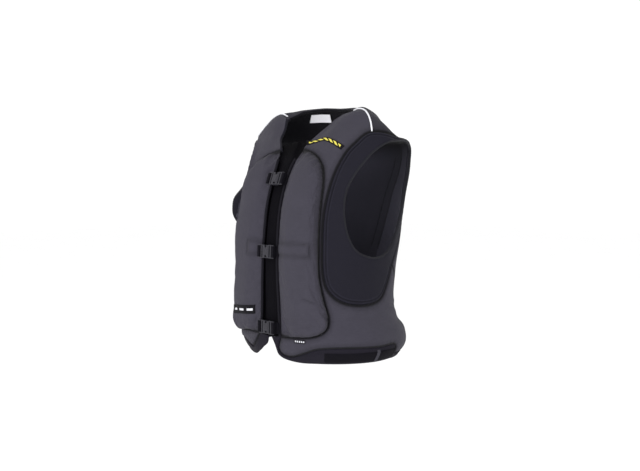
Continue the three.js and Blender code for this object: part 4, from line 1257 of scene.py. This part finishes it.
def padBadge():
    # lies on the blown pad: its corners are found on the pad's own grid
    points = padRight["points"]
    s0, s1, start, fall, half = badgeLook["padBadge"]
    share = crowded(points.shape[1] - 1, padLook["crowd"])
    columns = np.flatnonzero((share >= s0) & (share <= s1))
    face = gridNormal(points)
    face = face * np.sign((face * padSheet["out"]).sum(-1, keepdims=True))

    def pick(field):
        # the field's values at the badge's rises, column by column
        rows = [[np.interp(start + fall * share[c] + steps(-half, half, 14), padAt[:, c, 1], field[:, c, k])
                 for k in range(3)] for c in columns]
        return np.array(rows).transpose(2, 0, 1)

    grid, out = pick(points), unit(pick(face))
    return otherSide({"points": grid + out * badgeLook["padLift"], "out": out, "cloth": badgeCloth(grid)})


fit(sew("padBadge", [padBadge()], ["padBars"], badgeLook["padThick"]), "webbing", "pad_badge")


def pullTab():
    # folded tape standing out of the pad's seam: a hairpin carried up its height
    angle, rise, fold, half = (tabLook[key] for key in ("angle", "rise", "fold", "half"))
    out = outward(np.array(angle), np.array(rise))
    up = unit(np.array([0, 0, 1.0]) - out * out[2])
    turn = steps(-np.pi / 2, np.pi / 2, 12)
    loop = np.stack([tabLook["reach"] + fold * np.cos(turn), fold * np.sin(turn)], -1)
    path = np.concatenate([[[tabLook["root"], -fold]], loop, [[tabLook["root"], fold]]])
    y = steps(-half, half, 24)
    pull = 1 - 0.1 * (np.abs(y) / half) ** 6
    points = (path[None, :, :1] * pull[:, None, None] * out + path[None, :, 1:] * np.cross(out, up)
              + y[:, None, None] * up)
    return {"points": points + bodyPoint(angle, rise), "cloth": clothOf(runAlong(path)[None], y[:, None])}


fit(sew("pullTab", [pullTab()], ["webbing"], tabLook["thick"], 0.0), "webbing", "pull_tab")
print("badges done")

# Stitches: short rounded threads along the seams

stitchLook = {"pitch": 4.2, "length": 3.0, "radius": 0.32, "lift": 0.15,
              # mm beside the pad's seam, the other front seams, the side panel's outer seam,
              # the front edge and the armhole binding
              "pad": 5.0, "seam": 4.6, "side": (-5.6, -10.4), "edge": -1.6, "binding": 1.2,
              "hem": (0.12, 0.82)}   # shares of the hem band's height


def stitchRow(line, out):
    # one six-sided thread to a pitch, its ends sunk a little into the cloth
    run = runAlong(line)
    at = np.arange(stitchLook["pitch"], run[-1] - stitchLook["pitch"], stitchLook["pitch"])
    here, ahead, face = (np.stack([np.interp(place, run, field[:, k]) for k in range(3)], -1)
                         for place, field in ((at, line), (at + 0.8, line), (at, out)))
    face, way = unit(face), unit(ahead - here)
    side = np.cross(way, face)
    along = np.array([-1, -0.8, 0, 0.8, 1]) * stitchLook["length"] / 2
    thick = np.array([0.05, 0.8, 1, 0.8, 0.05]) * stitchLook["radius"]
    sink = np.array([-0.35, -0.05, 0.12, -0.05, -0.35])
    theta = np.linspace(0, 2 * np.pi, 7)
    spine = here[:, None] + along[:, None] * way[:, None] + sink[:, None] * face[:, None]
    ringOut = np.cos(theta)[:, None] * face[:, None] + np.sin(theta)[:, None] * side[:, None]
    points = spine[:, :, None] + thick[:, None, None] * ringOut[:, None]
    cloth = clothOf(theta[None] * 0.3, along[:, None])
    return [{"points": p, "cloth": cloth} for p in points]


def overCloth(line, heightOf):
    # a seam laid on the worked cloth, with the way out of it
    height = heightOf(line[None])[0][0]
    return offPoint(line, height + stitchLook["lift"]), outwardAt(line)


def pairRows(name, rows, left=(), right=()):
    # the same rows on both sides, then those of one side alone
    sewn = lambda lines: [sheet for line, out in lines for sheet in stitchRow(line, out)]
    both = sewn(rows)
    sheets = both + sewn(left) + [otherSide(sheet) for sheet in both + sewn(right)]
    fit(sew(name, sheets, ["thread"], closed=True), "trim")


flat = lambda height: (lambda at: (np.full(at.shape[:-1], height), None))
looseHeight = lambda at: (sideHeight(at)[0] + slackAt(at), None)
otherHeight = lambda at: frontHeight(at, hemOtherChords)
padEdge = shifted(padSeam, stitchLook["pad"])[6:-6]
ringEdge = shifted(join(ringFront, ringStrip, ringFoot), stitchLook["seam"])[6:-6]
pairRows("frontStitching", [overCloth(line, frontHeight) for line in (padEdge, ringEdge)],
         [overCloth(shifted(hemFront, stitchLook["seam"])[8:-6], frontHeight)],
         [overCloth(shifted(hemOther, stitchLook["seam"])[8:-6], otherHeight)])
pairRows("sideStitching", [], *[[overCloth(shifted(ring, inset, True), over) for inset in stitchLook["side"]]
                                for over in (sideHeight, looseHeight)])
hemWays = [ruled(*pair, stitchLook["hem"]) for pair in hemPairs]
hemRowsOf = lambda way: [overCloth(way[1][4:], flat(0.75)), overCloth(way[0][20:], flat(0.65))]
armRow = shifted(hole, -sideLook["bindingWidth"] + stitchLook["binding"], True)
pairRows("trimStitching", [overCloth(shifted(edgeLine, stitchLook["edge"]), flat(1.2))],
         hemRowsOf(hemWays[0]) + [overCloth(armRow, flat(1.6))],
         hemRowsOf(hemWays[1]) + [overCloth(armRow, lambda at: (1.6 + slackAt(at), None))])
print("stitching done")

# Studio: pale floor well below the hem, even white light, camera at the photograph's angle

studio = {"floor": -0.95, "world": 1.06, "azimuth": 44.0, "elevation": 3.6, "distance": 1.8, "lens": 42.53,
          "target": (0, 0, -0.29),
          # lights: place, size, power
          "keyLight": ((0.3, -2.5, 0.25), 1.8, 33), "fillLight": ((2.1, -1.3, -0.85), 1.4, 36)}


def floorPlane():
    # one wide square under the vest, nearly white, faintly clouded
    material = bpy.data.materials.new("paleFloor")
    material.use_nodes = True
    shader = material.node_tree.nodes["Principled BSDF"]
    start = Wire(material.node_tree)
    spot = start.node("TexCoord", out="Object")
    cloud = start.node("TexNoise", None, {"Vector": spot, "Scale": 3.0})
    colour = (cloud * 0.02 + 0.98).shade((0.95, 0.95, 0.95))
    material.node_tree.links.new(colour.socket, shader.inputs["Base Color"])
    shader.inputs["Roughness"].default_value = 0.9
    mesh = bpy.data.meshes.new("floor")
    x, y = (a.ravel() for a in np.meshgrid([-12, 12], [-12, 12]))
    mesh.from_pydata(np.stack([x, y, np.full(4, studio["floor"])], -1).tolist(), [], [(0, 1, 3, 2)])
    mesh.materials.append(material)
    floor = bpy.data.objects.new("floor", mesh)
    scene.collection.objects.link(floor)


def aimed(obj, place, target):
    # set in place, turned to look at the target
    obj.location = place
    obj.rotation_euler = (Vector(target) - Vector(place)).to_track_quat("-Z", "Y").to_euler()
    scene.collection.objects.link(obj)


def softbox(name, place, size, power):
    # a round lamp that faces the vest
    lamp = bpy.data.lights.new(name, "AREA")
    lamp.shape, lamp.size, lamp.energy = "DISK", size, power
    aimed(bpy.data.objects.new(name, lamp), place, studio["target"])


floorPlane()
world = bpy.data.worlds.new("studioWhite")
scene.world = world
world.use_nodes = True
world.node_tree.nodes["Background"].inputs["Color"].default_value = (1, 1, 1, 1)
world.node_tree.nodes["Background"].inputs["Strength"].default_value = studio["world"]
for name in ("keyLight", "fillLight"):
    softbox(name, *studio[name])
azimuth, elevation = math.radians(studio["azimuth"]), math.radians(studio["elevation"])
level = math.cos(elevation)
away = Vector((math.sin(azimuth) * level, -math.cos(azimuth) * level, math.sin(elevation)))
lens = bpy.data.cameras.new("photoCamera")
lens.lens, lens.sensor_width, lens.clip_start, lens.clip_end = studio["lens"], 36, 0.05, 60
camera = bpy.data.objects.new("photoCamera", lens)
aimed(camera, Vector(studio["target"]) + away * studio["distance"], studio["target"])
scene.camera = camera
scene.view_settings.view_transform = "Standard"
print("studio set")
